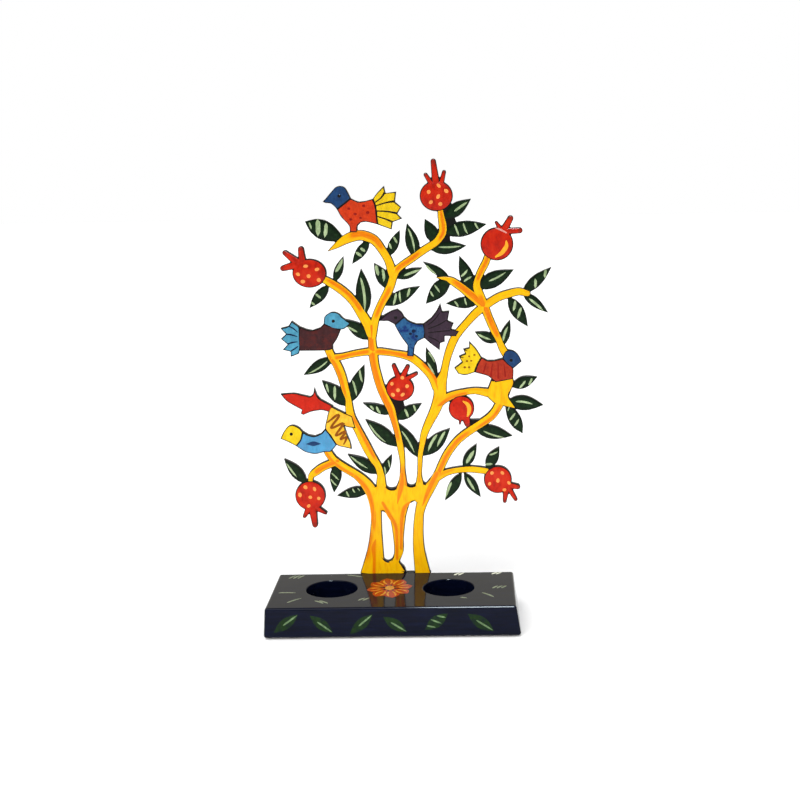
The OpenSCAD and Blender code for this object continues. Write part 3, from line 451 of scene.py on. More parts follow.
def inset(loop, distance):
    """The loop moved to its left: an outline shrinks, and a clockwise hole grows."""
    ahead = np.roll(loop, -1, 0) - loop
    ahead /= np.maximum(np.linalg.norm(ahead, axis=1), 1e-9)[:, None]
    normal = np.stack([-ahead[:, 1], ahead[:, 0]], 1)
    before = np.roll(normal, 1, 0)
    mitre = (normal + before) / np.maximum(1 + (normal * before).sum(1), 0.5)[:, None]
    moved = loop + distance * mitre
    for _ in range(3):             # the ends of a side that has turned round are joined
        old, new = np.roll(loop, -1, 0) - loop, np.roll(moved, -1, 0) - moved
        crossed = (old * new).sum(1) < 0
        for i in np.nonzero(crossed)[0]:
            j = (i + 1) % len(moved)
            moved[i] = moved[j] = (moved[i] + moved[j]) / 2
    return moved


FAR_IN = 9.0                       # an edge value that is too far in for an inked line


class Layer:
    """One painted piece, gathered shape by shape and made into a mesh object at the end.

    Its points are x, y and height in mm on its face. The paint looks vary with four values
    that each point carries: along and across its brush stroke, mark and edge."""

    def __init__(self, name, paints, face=TREE_FACE):
        self.name, self.paints, self.face = name, list(paints), face
        self.points, self.faces, self.slots = [], [], []
        self.along, self.across, self.mark, self.edge = [], [], [], []
        self.count = 0

    def add(self, points, faces, paint, along=0.0, across=0.0, mark=0.0, edge=FAR_IN):
        """Takes in one shape, in one of the layer's paints."""
        points = np.asarray(points, float)
        n = len(points)
        self.points.append(points)
        self.faces += [[self.count + i for i in f] for f in faces]
        self.slots += [self.paints.index(paint)] * len(faces)
        for values, value in ((self.along, along), (self.across, across), (self.mark, mark),
                              (self.edge, edge)):
            values.append(np.broadcast_to(np.asarray(value, float), n))
        self.count += n

    def finish(self, smooth_angle=40):
        """Makes the piece from all its shapes."""
        origin, u, v, h = (np.array(a, float) for a in self.face)
        p = np.concatenate(self.points)
        world = origin + MM * (p[:, :1] * u + p[:, 1:2] * v + p[:, 2:] * h)
        mesh = bpy.data.meshes.new(self.name)
        mesh.from_pydata(world.tolist(), [], self.faces)
        mesh.update()
        for paint in self.paints:
            mesh.materials.append(PAINTS[paint])
        mesh.polygons.foreach_set("material_index", self.slots)
        for title, values in (("along", self.along), ("across", self.across),
                              ("mark", self.mark), ("edge", self.edge)):
            stored = mesh.attributes.new(title, "FLOAT", "POINT")
            stored.data.foreach_set("value", np.concatenate(values).astype(np.float32))
        return finished(self.name, mesh, smooth_angle)


def placed(name, data):
    """A new object in the scene."""
    made = bpy.data.objects.new(name, data)
    bpy.context.scene.collection.objects.link(made)
    return made


def finished(name, mesh, smooth_angle):
    """A piece from a mesh: normals outwards, smooth shading, riding on the root body."""
    work = bmesh.new()
    work.from_mesh(mesh)
    bmesh.ops.recalc_face_normals(work, faces=work.faces)
    work.to_mesh(mesh)
    work.free()
    mesh.polygons.foreach_set("use_smooth", [True] * len(mesh.polygons))
    mesh.set_sharp_from_angle(angle=math.radians(smooth_angle))
    piece = placed(name, mesh)
    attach(piece, "root")
    return piece


def lofted(rings, closed_ends=True):
    """Faces that join rings of equal size, and close both ends."""
    size = len(rings[0])
    faces = []
    for k in range(len(rings) - 1):
        a, b = k * size, (k + 1) * size
        faces += [[a + i, a + (i + 1) % size, b + (i + 1) % size, b + i] for i in range(size)]
    if closed_ends:
        faces.append(list(range(size))[::-1])
        faces.append(list(range((len(rings) - 1) * size, len(rings) * size)))
    return faces


ACROSS = np.array([-1, -0.85, -0.6, -0.3, 0, 0.3, 0.6, 0.85, 1])      # a stroke's points


def ribbon(layer, track, paint, base, crown, shrink=0.0, round_ends=False, orange=(),
           soft=0.6):
    """A crowned stroke along a track of [x, z, width], shrunk by that much on each side.

    It stands base mm high at its sides and crown mm in its middle. Round ends are for both
    ends, or a pair: for the first and for the last."""
    track = np.array(track, float)
    ahead = np.gradient(track[:, :2], axis=0)
    ahead /= np.maximum(np.linalg.norm(ahead, axis=1), 1e-9)[:, None]
    half = np.maximum(track[:, 2] / 2 - shrink, 0.03)
    centre = track[:, :2]
    near, far = round_ends if isinstance(round_ends, tuple) else (round_ends, round_ends)
    turns = np.radians([28, 52, 70, 84])      # where the rings of a round end are
    before = [(centre[0] - ahead[0] * half[0] * math.sin(a), ahead[0], half[0] * math.cos(a))
              for a in turns[::-1] if near]
    after = [(centre[-1] + ahead[-1] * half[-1] * math.sin(a), ahead[-1],
              half[-1] * math.cos(a)) for a in turns if far]
    centre = np.array([b[0] for b in before] + list(centre) + [a[0] for a in after])
    ahead = np.array([b[1] for b in before] + list(ahead) + [a[1] for a in after])
    half = np.array([b[2] for b in before] + list(half) + [a[2] for a in after])
    left = np.stack([-ahead[:, 1], ahead[:, 0]], 1)
    run = np.concatenate([[0], np.cumsum(np.linalg.norm(np.diff(centre, axis=0), axis=1))])
    share = run / max(run[-1], 1e-6)
    top = base + (crown - base) * np.minimum(1, half / 1.6)      # thin strokes are lower
    rings, along, across, mark = [], [], [], []
    for i in range(len(centre)):
        places = np.concatenate([ACROSS, [1, -1]])
        heights = np.concatenate([base + (top[i] - base) * (1 - ACROSS ** 2) ** 0.6,
                                  [ROOT_DEPTH, ROOT_DEPTH]])
        flat = centre[i] + left[i] * (half[i] * places)[:, None]
        rings.append(np.concatenate([flat, heights[:, None]], 1))
        along += [run[i]] * len(places)
        across += list(places)
        mark += [max([stroke_at(share[i], v, s, soft) for s in orange] + [0]) for v in places]
    layer.add(np.concatenate(rings), lofted(rings), paint, along, across, mark)


def rise(x, middle, width):
    """A smooth step from 0 to 1 as x passes the middle."""
    t = min(1.0, max(0.0, (x - middle) / width + 0.5))
    return t * t * (3 - 2 * t)


def stroke_at(s, v, stroke, soft):
    """How strong a stroke (start, end, right, left, strength) with soft sides is there."""
    start, end, right, left, strength = stroke
    between = rise(s, start, 0.1) * (1 - rise(s, end, 0.1))
    return strength * between * rise(v, right, soft) * (1 - rise(v, left, soft))


def inside(spots, loops):
    """Which spots lie inside the loops, by the even-odd rule."""
    x, y = spots[:, 0], spots[:, 1]
    count = np.zeros(len(x), int)
    for loop in loops:
        for (ax, ay), (bx, by) in zip(loop, np.roll(loop, -1, 0)):
            if ay != by:
                count += ((ay > y) != (by > y)) & (x < (bx - ax) * (y - ay) / (by - ay) + ax)
    return count % 2 == 1


def edge_distance(spots, loop):
    """How far each spot is from the closed loop."""
    nearest = np.full(len(spots), 1e9)
    for a, b in zip(loop, np.roll(loop, -1, 0)):
        t = ((spots - a) @ (b - a) / max(float((b - a) @ (b - a)), 1e-12)).clip(0, 1)
        nearest = np.minimum(nearest, np.linalg.norm(spots - a - t[:, None] * (b - a), axis=1))
    return nearest


def plate(layer, outline, paint, base, crown, rim=1.3):
    """A flat layer that rises from base to crown over the rim, with its edge value in mm."""
    low, high = outline.min(0), outline.max(0)
    step = 0.75                    # mm between the points inside
    rows = np.arange(low[1], high[1], step * 0.87)
    grid = np.array([(x + step / 2 * (j % 2), y) for j, y in enumerate(rows)
                     for x in np.arange(low[0], high[0], step)])
    grid = grid[inside(grid, [outline]) & (edge_distance(grid, outline) > 0.35)]
    n = len(outline)
    made = delaunay_2d_cdt([Vector(p) for p in [*outline, *grid]],
                           [(i, (i + 1) % n) for i in range(n)], [], 0, 1e-6)
    flat = np.array([tuple(p) for p in made[0]])
    faces = np.array([tuple(f) for f in made[2]])
    faces = faces[inside(flat[faces].mean(1), [outline])]
    depth = edge_distance(flat, outline)
    height = base + (crown - base) * np.sin(np.clip(depth / rim, 0, 1) * math.pi / 2)
    size = len(flat)
    walls = {}
    for f in faces.tolist():
        for a, b in zip(f, f[1:] + f[:1]):
            walls[(a, b)] = True
    sides = [[b, a, a + size, b + size] for a, b in walls if (b, a) not in walls]
    top = np.concatenate([flat, height[:, None]], 1)
    bottom = np.concatenate([flat, np.full((size, 1), ROOT_DEPTH)], 1)
    layer.add(np.concatenate([top, bottom]),
              faces.tolist() + (faces[:, ::-1] + size).tolist() + sides, paint,
              along=np.tile(flat[:, 1], 2), across=np.tile(flat[:, 0] * 0.12, 2),
              edge=np.tile(depth, 2))


def dome(layer, centre, radii, paint, base, crown, rings=7, sides=36, turn=0.0):
    """A low round pillow that rises from base at its rim to crown."""
    angles = np.linspace(0, 2 * math.pi, sides, endpoint=False)
    c, s = math.cos(turn), math.sin(turn)
    made = []
    for k in range(rings + 1):
        r = 1 if k == 0 else 1 - (k - 1) / rings * (1 - 0.04)
        height = ROOT_DEPTH if k == 0 else base + (crown - base) * math.sqrt(1 - r ** 2)
        x, y = radii[0] * r * np.cos(angles), radii[1] * r * np.sin(angles)
        made.append(np.stack([centre[0] + c * x - s * y, centre[1] + s * x + c * y,
                              np.full(sides, height)], 1))
    layer.add(np.concatenate(made), lofted(made), paint)


LEAF_BIAS = 0.85                   # a leaf with less than 1 is broadest before its middle


def leaf_ends(leaf):
    """A leaf's first and last point, and its width."""
    return np.array(leaf[:2], float), np.array(leaf[2:4], float), leaf[4]


def leaf_track(leaf, bias=LEAF_BIAS):
    """The track of a leaf: its width follows a sine along it."""
    a, b, width = leaf_ends(leaf)
    t = np.linspace(0.004, 0.996, 16)
    return np.concatenate([a + (b - a) * t[:, None],
                           (width * np.sin(math.pi * t ** bias))[:, None]], 1)


def leaf_point(leaf, t, v):
    """The point of a leaf at t along it and v across it."""
    a, b, width = leaf_ends(leaf)
    ahead = (b - a) / np.linalg.norm(b - a)
    half = width / 2 * math.sin(math.pi * t ** LEAF_BIAS)
    return a + (b - a) * t + np.array([-ahead[1], ahead[0]]) * half * v


def brush_stroke(layer, start, end, width, paint, base, crown, bend=0.0):
    """A short stroke: it starts round, bends a little and runs out to a point."""
    start, end = np.array(start, float), np.array(end, float)
    ahead = end - start
    side = np.array([-ahead[1], ahead[0]])
    t = np.linspace(0, 1, 12)
    spots = start + ahead * t[:, None] + side * (bend * 4 * t * (1 - t))[:, None]
    widths = width * np.minimum(1, t * 5 + 0.35) * np.minimum(1, (1 - t) * 3.2 + 0.15)
    ribbon(layer, np.concatenate([spots, widths[:, None]], 1), paint, base, crown,
           round_ends=True)


# ---------------------------------------------------------------- materials


KEY_LEVEL = 1.18                   # how much brighter than 1 the studio lights a front face


def tone(red, green, blue):
    """The linear colour that looks like these sRGB values, 0 to 255, in the studio's light."""
    return tuple((c / 255 / 12.92 if c < 11 else ((c / 255 + 0.055) / 1.055) ** 2.4) / KEY_LEVEL
                 for c in (red, green, blue)) + (1.0,)


def node(tree, kind, inputs=None, **settings):
    """Adds a shader node. Inputs are values, or sockets to link."""
    made = tree.nodes.new("ShaderNode" + kind)
    for name, value in settings.items():
        setattr(made, name, value)
    for name, value in (inputs or {}).items():
        if isinstance(value, bpy.types.NodeSocket):
            tree.links.new(value, made.inputs[name])
        else:
            made.inputs[name].default_value = value
    return made


def blank(name):
    """A material with an empty tree, its Principled shader and its object coordinates."""
    material = bpy.data.materials.new(name)
    material.use_nodes = True
    tree = material.node_tree
    tree.nodes.clear()
    shader = node(tree, "BsdfPrincipled")
    node(tree, "OutputMaterial", {"Surface": shader.outputs[0]})
    return material, tree, shader, node(tree, "TexCoord").outputs["Object"]


def noise(tree, place, scale, stretch=(1, 1, 1), detail=3.0, roughness=0.55):
    """Noise from 0 to 1. It is finer with a larger scale, and longer where stretch is small."""
    mapped = node(tree, "Mapping", {"Vector": place, "Scale": stretch})
    return node(tree, "TexNoise", {"Vector": mapped.outputs[0], "Scale": scale,
                                   "Detail": detail, "Roughness": roughness}).outputs[0]


def ramp(tree, value, stops):
    """A colour ramp: stops are (position, colour)."""
    made = node(tree, "ValToRGB", {"Fac": value})
    elements = made.color_ramp.elements
    while len(elements) < len(stops):
        elements.new(0.5)
    for element, (position, colour) in zip(elements, stops):
        element.position, element.color = position, colour
    return made.outputs[0]


def grey(level):
    """A grey colour, or a plain value for a ramp."""
    return (level, level, level, 1.0)


def span(tree, value, low, high):
    """The value, from 0 to 1, moved to the range low to high."""
    return node(tree, "MapRange", {"Value": value, "To Min": low, "To Max": high}).outputs[0]


def blended(tree, factor, a, b, mode="MIX"):
    """The colour a with the colour b mixed in by the factor."""
    made = node(tree, "Mix", data_type="RGBA", blend_type=mode)
    for index, value in ((0, factor), (6, a), (7, b)):
        if isinstance(value, bpy.types.NodeSocket):
            tree.links.new(value, made.inputs[index])
        else:
            made.inputs[index].default_value = value
    return made.outputs[2]


def scaled(colour, by):
    """The colour made darker or lighter."""
    return tuple(min(1.0, c * by) for c in colour[:3]) + (1.0,)


def bump(tree, shader, height, strength, distance):
    """Gives the shader a fine relief, where the distance is in metres."""
    relief = node(tree, "Bump", {"Strength": strength, "Distance": distance, "Height": height})
    tree.links.new(relief.outputs[0], shader.inputs["Normal"])


def gloss(tree, shader, place, rough=(0.16, 0.3), relief=0.06, level=0.12):
    """Brushed enamel under clear lacquer: fine ridges and uneven gloss."""
    ridges = noise(tree, place, 900, (1, 1, 0.35), detail=2)
    swell = noise(tree, place, 160, detail=2)
    tree.links.new(span(tree, swell, *rough), shader.inputs["Roughness"])
    height = node(tree, "Math", {0: ridges, 1: swell}, operation="ADD").outputs[0]
    bump(tree, shader, height, relief, 0.0004)
    shader.inputs["Specular IOR Level"].default_value = level


def enamel(name, colour, low=0.72, high=1.12, mottle=None, amount=0.5):
    """One brushed colour, darker and lighter along its brush marks, with patches of mottle."""
    material, tree, shader, place = blank(name)
    strokes = noise(tree, place, 420, (1, 1, 0.3), detail=4)
    base = ramp(tree, strokes, [(0.3, scaled(colour, low)), (0.7, scaled(colour, high))])
    if mottle:
        patches = noise(tree, place, 230, detail=3, roughness=0.7)
        cover = ramp(tree, patches, [(0.45, grey(0)), (0.62, grey(amount))])
        base = blended(tree, cover, base, mottle)
    tree.links.new(inked(tree, base, place), shader.inputs["Base Color"])
    gloss(tree, shader, place)
    return material


def attribute(tree, name):
    """One of the values that a layer's points carry."""
    return node(tree, "Attribute", attribute_name=name).outputs["Fac"]


def inked(tree, colour, place):
    """The colour with an uneven dark line, about half a millimetre wide, along its edge."""
    waver = noise(tree, place, 260, detail=2)
    depth = node(tree, "Math", {0: waver, 1: -0.7, 2: attribute(tree, "edge")},
                 operation="MULTIPLY_ADD").outputs[0]
    line = ramp(tree, depth, [(0.22, grey(1)), (0.42, grey(0))])
    return blended(tree, line, colour, tone(20, 17, 17))


def limb_paint():
    """Yellow limbs with soft orange strokes, streaked along the limb by the brush."""
    material, tree, shader, place = blank("limb_paint")
    track = node(tree, "CombineXYZ", {"X": attribute(tree, "along"),
                                      "Y": attribute(tree, "across"), "Z": 0.0}).outputs[0]
    streaks = noise(tree, track, 1.0, (0.09, 3.2, 1), detail=4, roughness=0.6)
    patches = noise(tree, place, 95, detail=3)
    yellow = ramp(tree, streaks, [(0.28, tone(240, 158, 2)), (0.5, tone(253, 190, 3)),
                                  (0.74, tone(255, 203, 10))])
    orange = ramp(tree, streaks, [(0.3, tone(228, 106, 0)), (0.68, tone(245, 144, 4))])
    wobble = node(tree, "Math", {0: streaks, 1: 0.5}, operation="SUBTRACT").outputs[0]
    uneven = node(tree, "Math", {0: wobble, 1: 0.9, 2: attribute(tree, "mark")},
                  operation="MULTIPLY_ADD").outputs[0]
    cover = ramp(tree, uneven, [(0.1, grey(0)), (0.8, grey(1))])
    painted = blended(tree, cover, yellow, orange)
    shade = ramp(tree, patches, [(0.3, grey(0.93)), (0.65, grey(1))])
    shaded = blended(tree, 1.0, painted, shade, "MULTIPLY")
    tree.links.new(inked(tree, shaded, place), shader.inputs["Base Color"])
    gloss(tree, shader, place)
    return material


def leaf_paint():
    """Very dark green, near black at the edges of the leaf, with a greener middle."""
    material, tree, shader, place = blank("leaf_green")
    streaks = noise(tree, place, 350, detail=4)
    green = ramp(tree, streaks, [(0.3, tone(8, 26, 8)), (0.55, tone(14, 38, 14)),
                                 (0.8, tone(30, 58, 26))])
    edge = node(tree, "Math", {0: attribute(tree, "across")}, operation="ABSOLUTE").outputs[0]
    dark = ramp(tree, edge, [(0.45, grey(0)), (0.95, grey(0.75))])
    tree.links.new(blended(tree, dark, green, tone(6, 14, 7)), shader.inputs["Base Color"])
    gloss(tree, shader, place)
    return material


def pomegranate_paint():
    """Red with darker brush patches and a deeper red towards the tips of the spikes."""
    material, tree, shader, place = blank("pomegranate_red")
    strokes = noise(tree, place, 210, (1, 1, 0.6), detail=4)
    red = ramp(tree, strokes, [(0.3, tone(158, 24, 8)), (0.5, tone(196, 34, 12)),
                               (0.75, tone(208, 50, 18))])
    tip = ramp(tree, attribute(tree, "mark"), [(0.45, grey(0)), (0.95, grey(0.7))])
    tree.links.new(blended(tree, tip, red, tone(86, 40, 34)), shader.inputs["Base Color"])
    gloss(tree, shader, place)
    return material


def dark_board():
    """The sawn board's black-brown paint, with slight brush marks."""
    material, tree, shader, place = blank("board_paint")
    grain = noise(tree, place, 300, (0.35, 1, 0.08), detail=5, roughness=0.65)
    base = ramp(tree, grain, [(0.3, tone(10, 9, 9)), (0.6, tone(20, 18, 16)),
                              (0.85, tone(34, 30, 25))])
    tree.links.new(base, shader.inputs["Base Color"])
    gloss(tree, shader, place, rough=(0.25, 0.4), relief=0.12, level=0.1)
    return material


def block_lacquer():
    """Deep navy paint under a thick, slightly wavy clear coat."""
    material, tree, shader, place = blank("block_lacquer")
    wave = noise(tree, place, 26, detail=2)
    fine = noise(tree, place, 420, (0.12, 1, 1), detail=4)
    navy = ramp(tree, fine, [(0.3, tone(3, 7, 22)), (0.55, tone(6, 11, 31)),
                             (0.8, tone(10, 17, 41))])
    tree.links.new(navy, shader.inputs["Base Color"])
    tree.links.new(span(tree, fine, 0.06, 0.13), shader.inputs["Roughness"])
    height = node(tree, "Math", {0: fine, 1: 0.08, 2: wave}, operation="MULTIPLY_ADD").outputs[0]
    bump(tree, shader, height, 0.12, 0.0015)
    shader.inputs["Specular IOR Level"].default_value = 0.1
    return material


def brushed_steel():
    """Zinc-plated steel with fine turning marks."""
    material, tree, shader, place = blank("zinc_steel")
    lathe = noise(tree, place, 700, (1, 0.15, 1), detail=4)
    base = ramp(tree, lathe, [(0.3, tone(150, 150, 152)), (0.7, tone(206, 206, 204))])
    tree.links.new(base, shader.inputs["Base Color"])
    tree.links.new(span(tree, lathe, 0.22, 0.42), shader.inputs["Roughness"])
    bump(tree, shader, lathe, 0.15, 0.0002)
    shader.inputs["Metallic"].default_value = 1.0
    return material


def felt():
    """Charcoal felt with a short, uneven nap."""
    material, tree, shader, place = blank("charcoal_felt")
    fibre = noise(tree, place, 2600, (1, 1, 0.5), detail=5, roughness=0.75)
    base = ramp(tree, fibre, [(0.3, tone(38, 38, 40)), (0.7, tone(84, 83, 84))])
    tree.links.new(base, shader.inputs["Base Color"])
    bump(tree, shader, fibre, 0.6, 0.0004)
    shader.inputs["Roughness"].default_value = 0.95
    shader.inputs["Sheen Weight"].default_value = 0.4
    return material


def floor_paper():
    """The studio's matt white paper."""
    material, tree, shader, place = blank("studio_floor")
    base = ramp(tree, noise(tree, place, 3, detail=2), [(0.3, grey(0.93)), (0.7, grey(0.97))])
    tree.links.new(base, shader.inputs["Base Color"])
    shader.inputs["Roughness"].default_value = 1.0
    shader.inputs["Specular IOR Level"].default_value = 0.0
    return material


PAINTS = {
    "limb": limb_paint(),
    "leaf": leaf_paint(),
    "pomegranate": pomegranate_paint(),
    "board": dark_board(),
    "block": block_lacquer(),
    "ink": enamel("ink_black", tone(22, 18, 18)),
    "pale": enamel("pale_green", tone(172, 192, 146), 0.75, 1.2, mottle=tone(120, 146, 98)),
    "spot": enamel("spot_orange", tone(255, 158, 80), 0.8, 1.2),
    "crescent": enamel("crescent_amber", tone(255, 172, 44), 0.85, 1.15),
    # pale pink paint that stands in for a glint of light: a painted highlight
    "painted_pink_highlight": enamel("painted_pink_highlight", tone(232, 160, 150), 0.85, 1.1),
    "red_orange": enamel("red_orange", tone(214, 62, 22), 0.82, 1.1, mottle=tone(176, 42, 16)),
    "rust": enamel("rust_red", tone(178, 52, 28), 0.8, 1.12, mottle=tone(140, 34, 20)),
    "dark_red": enamel("dark_red", tone(150, 26, 16)),
    "blossom": enamel("blossom_red", tone(202, 38, 18), 0.82, 1.12, mottle=tone(176, 30, 14)),
    "brown_red": enamel("brown_red", tone(66, 34, 36), mottle=tone(104, 36, 30), amount=0.45),
    "deep_blue": enamel("deep_blue", tone(34, 70, 116), mottle=tone(24, 44, 82)),
    "mid_blue": enamel("mid_blue", tone(44, 98, 146), mottle=tone(16, 40, 104), amount=0.95),
    "light_blue": enamel("light_blue", tone(80, 156, 202), mottle=tone(92, 140, 190)),
    "teal": enamel("teal", tone(84, 162, 192), mottle=tone(56, 124, 160)),
    "navy": enamel("navy_line", tone(16, 30, 62)),
    "plum": enamel("plum", tone(62, 46, 60), mottle=tone(44, 34, 46)),
    "yellow": enamel("yellow", tone(242, 204, 24), 0.82, 1.1, mottle=tone(214, 176, 10)),
    "ochre": enamel("ochre", tone(242, 196, 52), 0.82, 1.1, mottle=tone(232, 152, 24)),
    "brown": enamel("brown_line", tone(146, 78, 8)),
    "front_leaf": enamel("front_leaf_green", tone(20, 45, 14), mottle=tone(10, 24, 28), amount=0.7),
    "front_vein": enamel("front_vein", tone(104, 130, 92), mottle=tone(48, 76, 48)),
    "faint": enamel("faint_stroke", tone(132, 142, 116), mottle=tone(80, 92, 72)),
    "bright": enamel("bright_stroke", tone(226, 228, 206), 0.85, 1.1),
    "petal": enamel("petal_orange", tone(176, 60, 14), mottle=tone(128, 30, 10)),
    "petal_line": enamel("petal_line", tone(214, 150, 44), mottle=tone(190, 90, 40)),
}

# ---------------------------------------------------------------- the board


def board_outlines():
    """The CAD panel's front outline as closed loops in mm on the tree's face."""
    work = bmesh.new()
    work.from_mesh(frame["nodes"]["tree_panel"].data)
    bmesh.ops.remove_doubles(work, verts=work.verts, dist=1e-6)
    near = TREE_LOW.y + 0.01 * MM
    front = [f for f in work.faces if all(v.co.y < near for v in f.verts)]
    known = set(front)
    following = {}
    for f in front:
        for loop in f.loops:
            if sum(g in known for g in loop.edge.link_faces) == 1:
                following[loop.vert.index] = loop.link_loop_next.vert.index
    places = {v.index: ((v.co.x - MIDDLE_X) / MM, (v.co.z - BLOCK_HIGH.z) / MM)
              for v in work.verts}
    work.free()
    loops = []
    while following:
        here = next(iter(following))
        loop = []
        while here in following:
            loop.append(places[here])
            here = following.pop(here)
        loops.append(np.array(loop))
    return loops


def softened(loop, sharp=42):
    """The loop with its gentle corners cut off, and its sharp ones kept."""
    turn = np.abs(corner_angles(loop))
    made = []
    for i in range(len(loop)):
        a, b, c = loop[i - 1], loop[i], loop[(i + 1) % len(loop)]
        short = min(np.linalg.norm(a - b), np.linalg.norm(c - b))
        cut = min(0.25 * short, 1.2)      # mm along each side
        if turn[i] > sharp or turn[i] < 2 or short < 0.3:
            made.append(b)
        else:
            made.append(b + (a - b) / np.linalg.norm(a - b) * cut)
            made.append(b + (c - b) / np.linalg.norm(c - b) * cut)
    return np.array(made)


def cap(loops):
    """Triangles that fill the loops, as indices into their points, one loop after another."""
    flat = np.concatenate(loops)
    edges, start = [], 0
    for loop in loops:
        n = len(loop)
        edges += [(start + i, start + (i + 1) % n) for i in range(n)]
        start += n
    points, _, faces, origins, _, _ = delaunay_2d_cdt(
        [Vector(p) for p in flat], edges, [], 0, 1e-7)
    kept = np.array([tuple(f) for f in faces])
    place = np.array([tuple(p) for p in points])
    kept = kept[inside(place[kept].mean(1), loops)]
    back = [o[0] if o else -1 for o in origins]
    return [[back[i] for i in f] for f in kept if min(back[i] for i in f) >= 0]


def circle(centre, radius, sides=40):
    """A clockwise circle, as a hole in the board is."""
    angles = -np.linspace(0, 2 * math.pi, sides, endpoint=False)
    return np.stack([centre[0] + radius * np.cos(angles), centre[1] + radius * np.sin(angles)], 1)


def tree_board():
    """The board: sawn outline, rounded dark rims, and countersunk screw holes."""
    thickness = (TREE_HIGH.y - TREE_LOW.y) / MM
    holes = [[(sum(c.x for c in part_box(s)) / 2 - MIDDLE_X) / MM,
              (sum(c.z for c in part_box(s)) / 2 - BLOCK_HIGH.z) / MM] for s in SCREWS]
    outlines = [softened(o) for o in board_outlines()      # without the CAD's screw holes
                if min(np.linalg.norm(o.mean(0) - h) for h in holes) > 2]
    layer = Layer("tree_board", ["board"])
    rim = [(0.5, 0.0), (0.25, 0.07), (0.08, 0.22), (0.0, 0.5)]      # (inwards, down) in mm
    rings = rim + [(d, thickness - h) for d, h in rim[::-1]]
    bore, head, sink = 1.8, 3.56, 1.8      # mm: the hole's radius, its mouth's, its cone's depth
    sunk = [(bore, 0), (bore, thickness - sink), (head, thickness - 0.05), (head, thickness)]
    front, back, start = [], [], 0
    for outline in outlines:
        made = [np.concatenate([inset(outline, d), np.full((len(outline), 1), -h)], 1)
                for d, h in rings]
        layer.add(np.concatenate(made), lofted(made, closed_ends=False), "board")
        front.append((start, made[0][:, :2]))
        start += len(outline) * len(rings)
        back.append((start - len(outline), made[-1][:, :2]))
    for hole in holes:
        made = [np.concatenate([c, np.full((len(c), 1), -h)], 1)
                for c, h in ((circle(hole, r), h) for r, h in sunk)]
        layer.add(np.concatenate(made), lofted(made, closed_ends=False), "board")
        front.append((start, made[0][:, :2]))
        start += len(made[0]) * len(sunk)
        back.append((start - len(made[0]), made[-1][:, :2]))
    for loops in (front, back):
        index = np.concatenate([np.arange(s, s + len(p)) for s, p in loops])
        faces = cap([p for _, p in loops])
        layer.faces += [[int(index[i]) for i in f] for f in faces]
        layer.slots += [0] * len(faces)
    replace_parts(layer.finish(smooth_angle=38), "tree_panel")


# ---------------------------------------------------------------- the painted tree


def limbs():
    """The yellow limbs, the areas where they meet, and the trunk's orange brush marks."""
    layer = Layer("limbs", ["limb"])
    for line, orange in LIMBS.values():
        track = spline(line, 1.1)
        above = (track[0][1] > 0, track[-1][1] > 0)
        ribbon(layer, track, "limb", 0.2, 0.42, shrink=0.55, round_ends=above, orange=orange)
    for outline in (TRUNK_FORK, TRUNK_FOOT, KNOT):
        plate(layer, drawn(outline, sharp=75), "limb", 0.14, 0.46, rim=1.8)
    for mark in TRUNK_MARKS:
        ribbon(layer, spline(mark), "limb", 0.47, 0.56, round_ends=True,
               orange=[(0.0, 1.0, -0.7, 0.7, 1.0)], soft=1.0)
    layer.finish()


def leaves():
    """The green leaves, and the pale strokes across them."""
    green = Layer("leaves", ["leaf"])
    pale = Layer("leaf_strokes", ["pale"])
    draw = random.Random(5)
    for leaf, strokes in LEAVES:
        ribbon(green, leaf_track(leaf), "leaf", 0.1, 0.24, shrink=0.45)
        for t0, v0, t1, v1, width in strokes:
            brush_stroke(pale, leaf_point(leaf, t0, v0 * 0.92), leaf_point(leaf, t1, v1 * 0.92),
                         width * 1.1, "pale", 0.27, 0.4, bend=draw.uniform(-0.06, 0.06))
    green.finish()
    pale.finish()


def pomegranate(name, fruit):
    """A red fruit and its spikes, both outlined in black, with its dots or its crescent, and on one
    fruit a pale pink painted highlight at its crown.
    """
    layer = Layer(name, ["pomegranate", "ink", "spot", "crescent", "painted_pink_highlight"])
    centre, (wide, tall) = fruit["centre"], fruit["radii"]
    base, swell = 0.52, 0.53       # mm: the height of the fruit's rim, and what it rises by
    dome(layer, centre, (wide - 0.25, tall - 0.25), "ink", 0.44, 0.47)
    dome(layer, centre, (wide - 0.85, tall - 0.85), "pomegranate", base, base + swell,
         rings=9, sides=48)
    for x0, z0, x1, z1, width0, width1 in fruit["spikes"]:
        root, tip = np.array([x0, z0]), np.array([x1, z1])
        end = tip - (tip - root) / np.linalg.norm(tip - root) * width1 / 2
        t = np.linspace(0, 1, 12)[:, None]
        track = np.concatenate([root + (end - root) * t, width0 + (width1 - width0) * t], 1)
        ribbon(layer, track, "ink", 0.3, 0.4, shrink=0.2, round_ends=True)
        ribbon(layer, track, "pomegranate", 0.46, 0.74, shrink=0.55, round_ends=True,
               orange=[(0.78, 2, -3, 3, 0.8)])
    draw = random.Random(len(name))
    for x, z in fruit.get("dots", []):
        away = math.hypot((x - centre[0]) / wide, (z - centre[1]) / tall)
        height = base + swell * math.sqrt(1 - min(1, away) ** 2)
        dome(layer, (x, z), (1.55 + draw.uniform(-0.2, 0.3), 1.35 + draw.uniform(-0.2, 0.2)),
             "spot", height, height + 0.12, rings=4, sides=20, turn=draw.uniform(0, 3))
    if "crescent" in fruit:
        ribbon(layer, spline(fruit["crescent"], 0.8), "crescent", 0.95, 1.12, round_ends=True)
    # the pale pink painted highlight stands in for light glinting on the crown
    if "painted_highlight" in fruit:
        ribbon(layer, spline(fruit["painted_highlight"], 0.8), "painted_pink_highlight", 0.7, 0.95, round_ends=True)
    layer.finish()


def blossom():
    """The spiky red blossom."""
    layer = Layer("red_blossom", ["blossom"])
    plate(layer, drawn(BLOSSOM), "blossom", 0.4, 0.6)
    layer.finish()


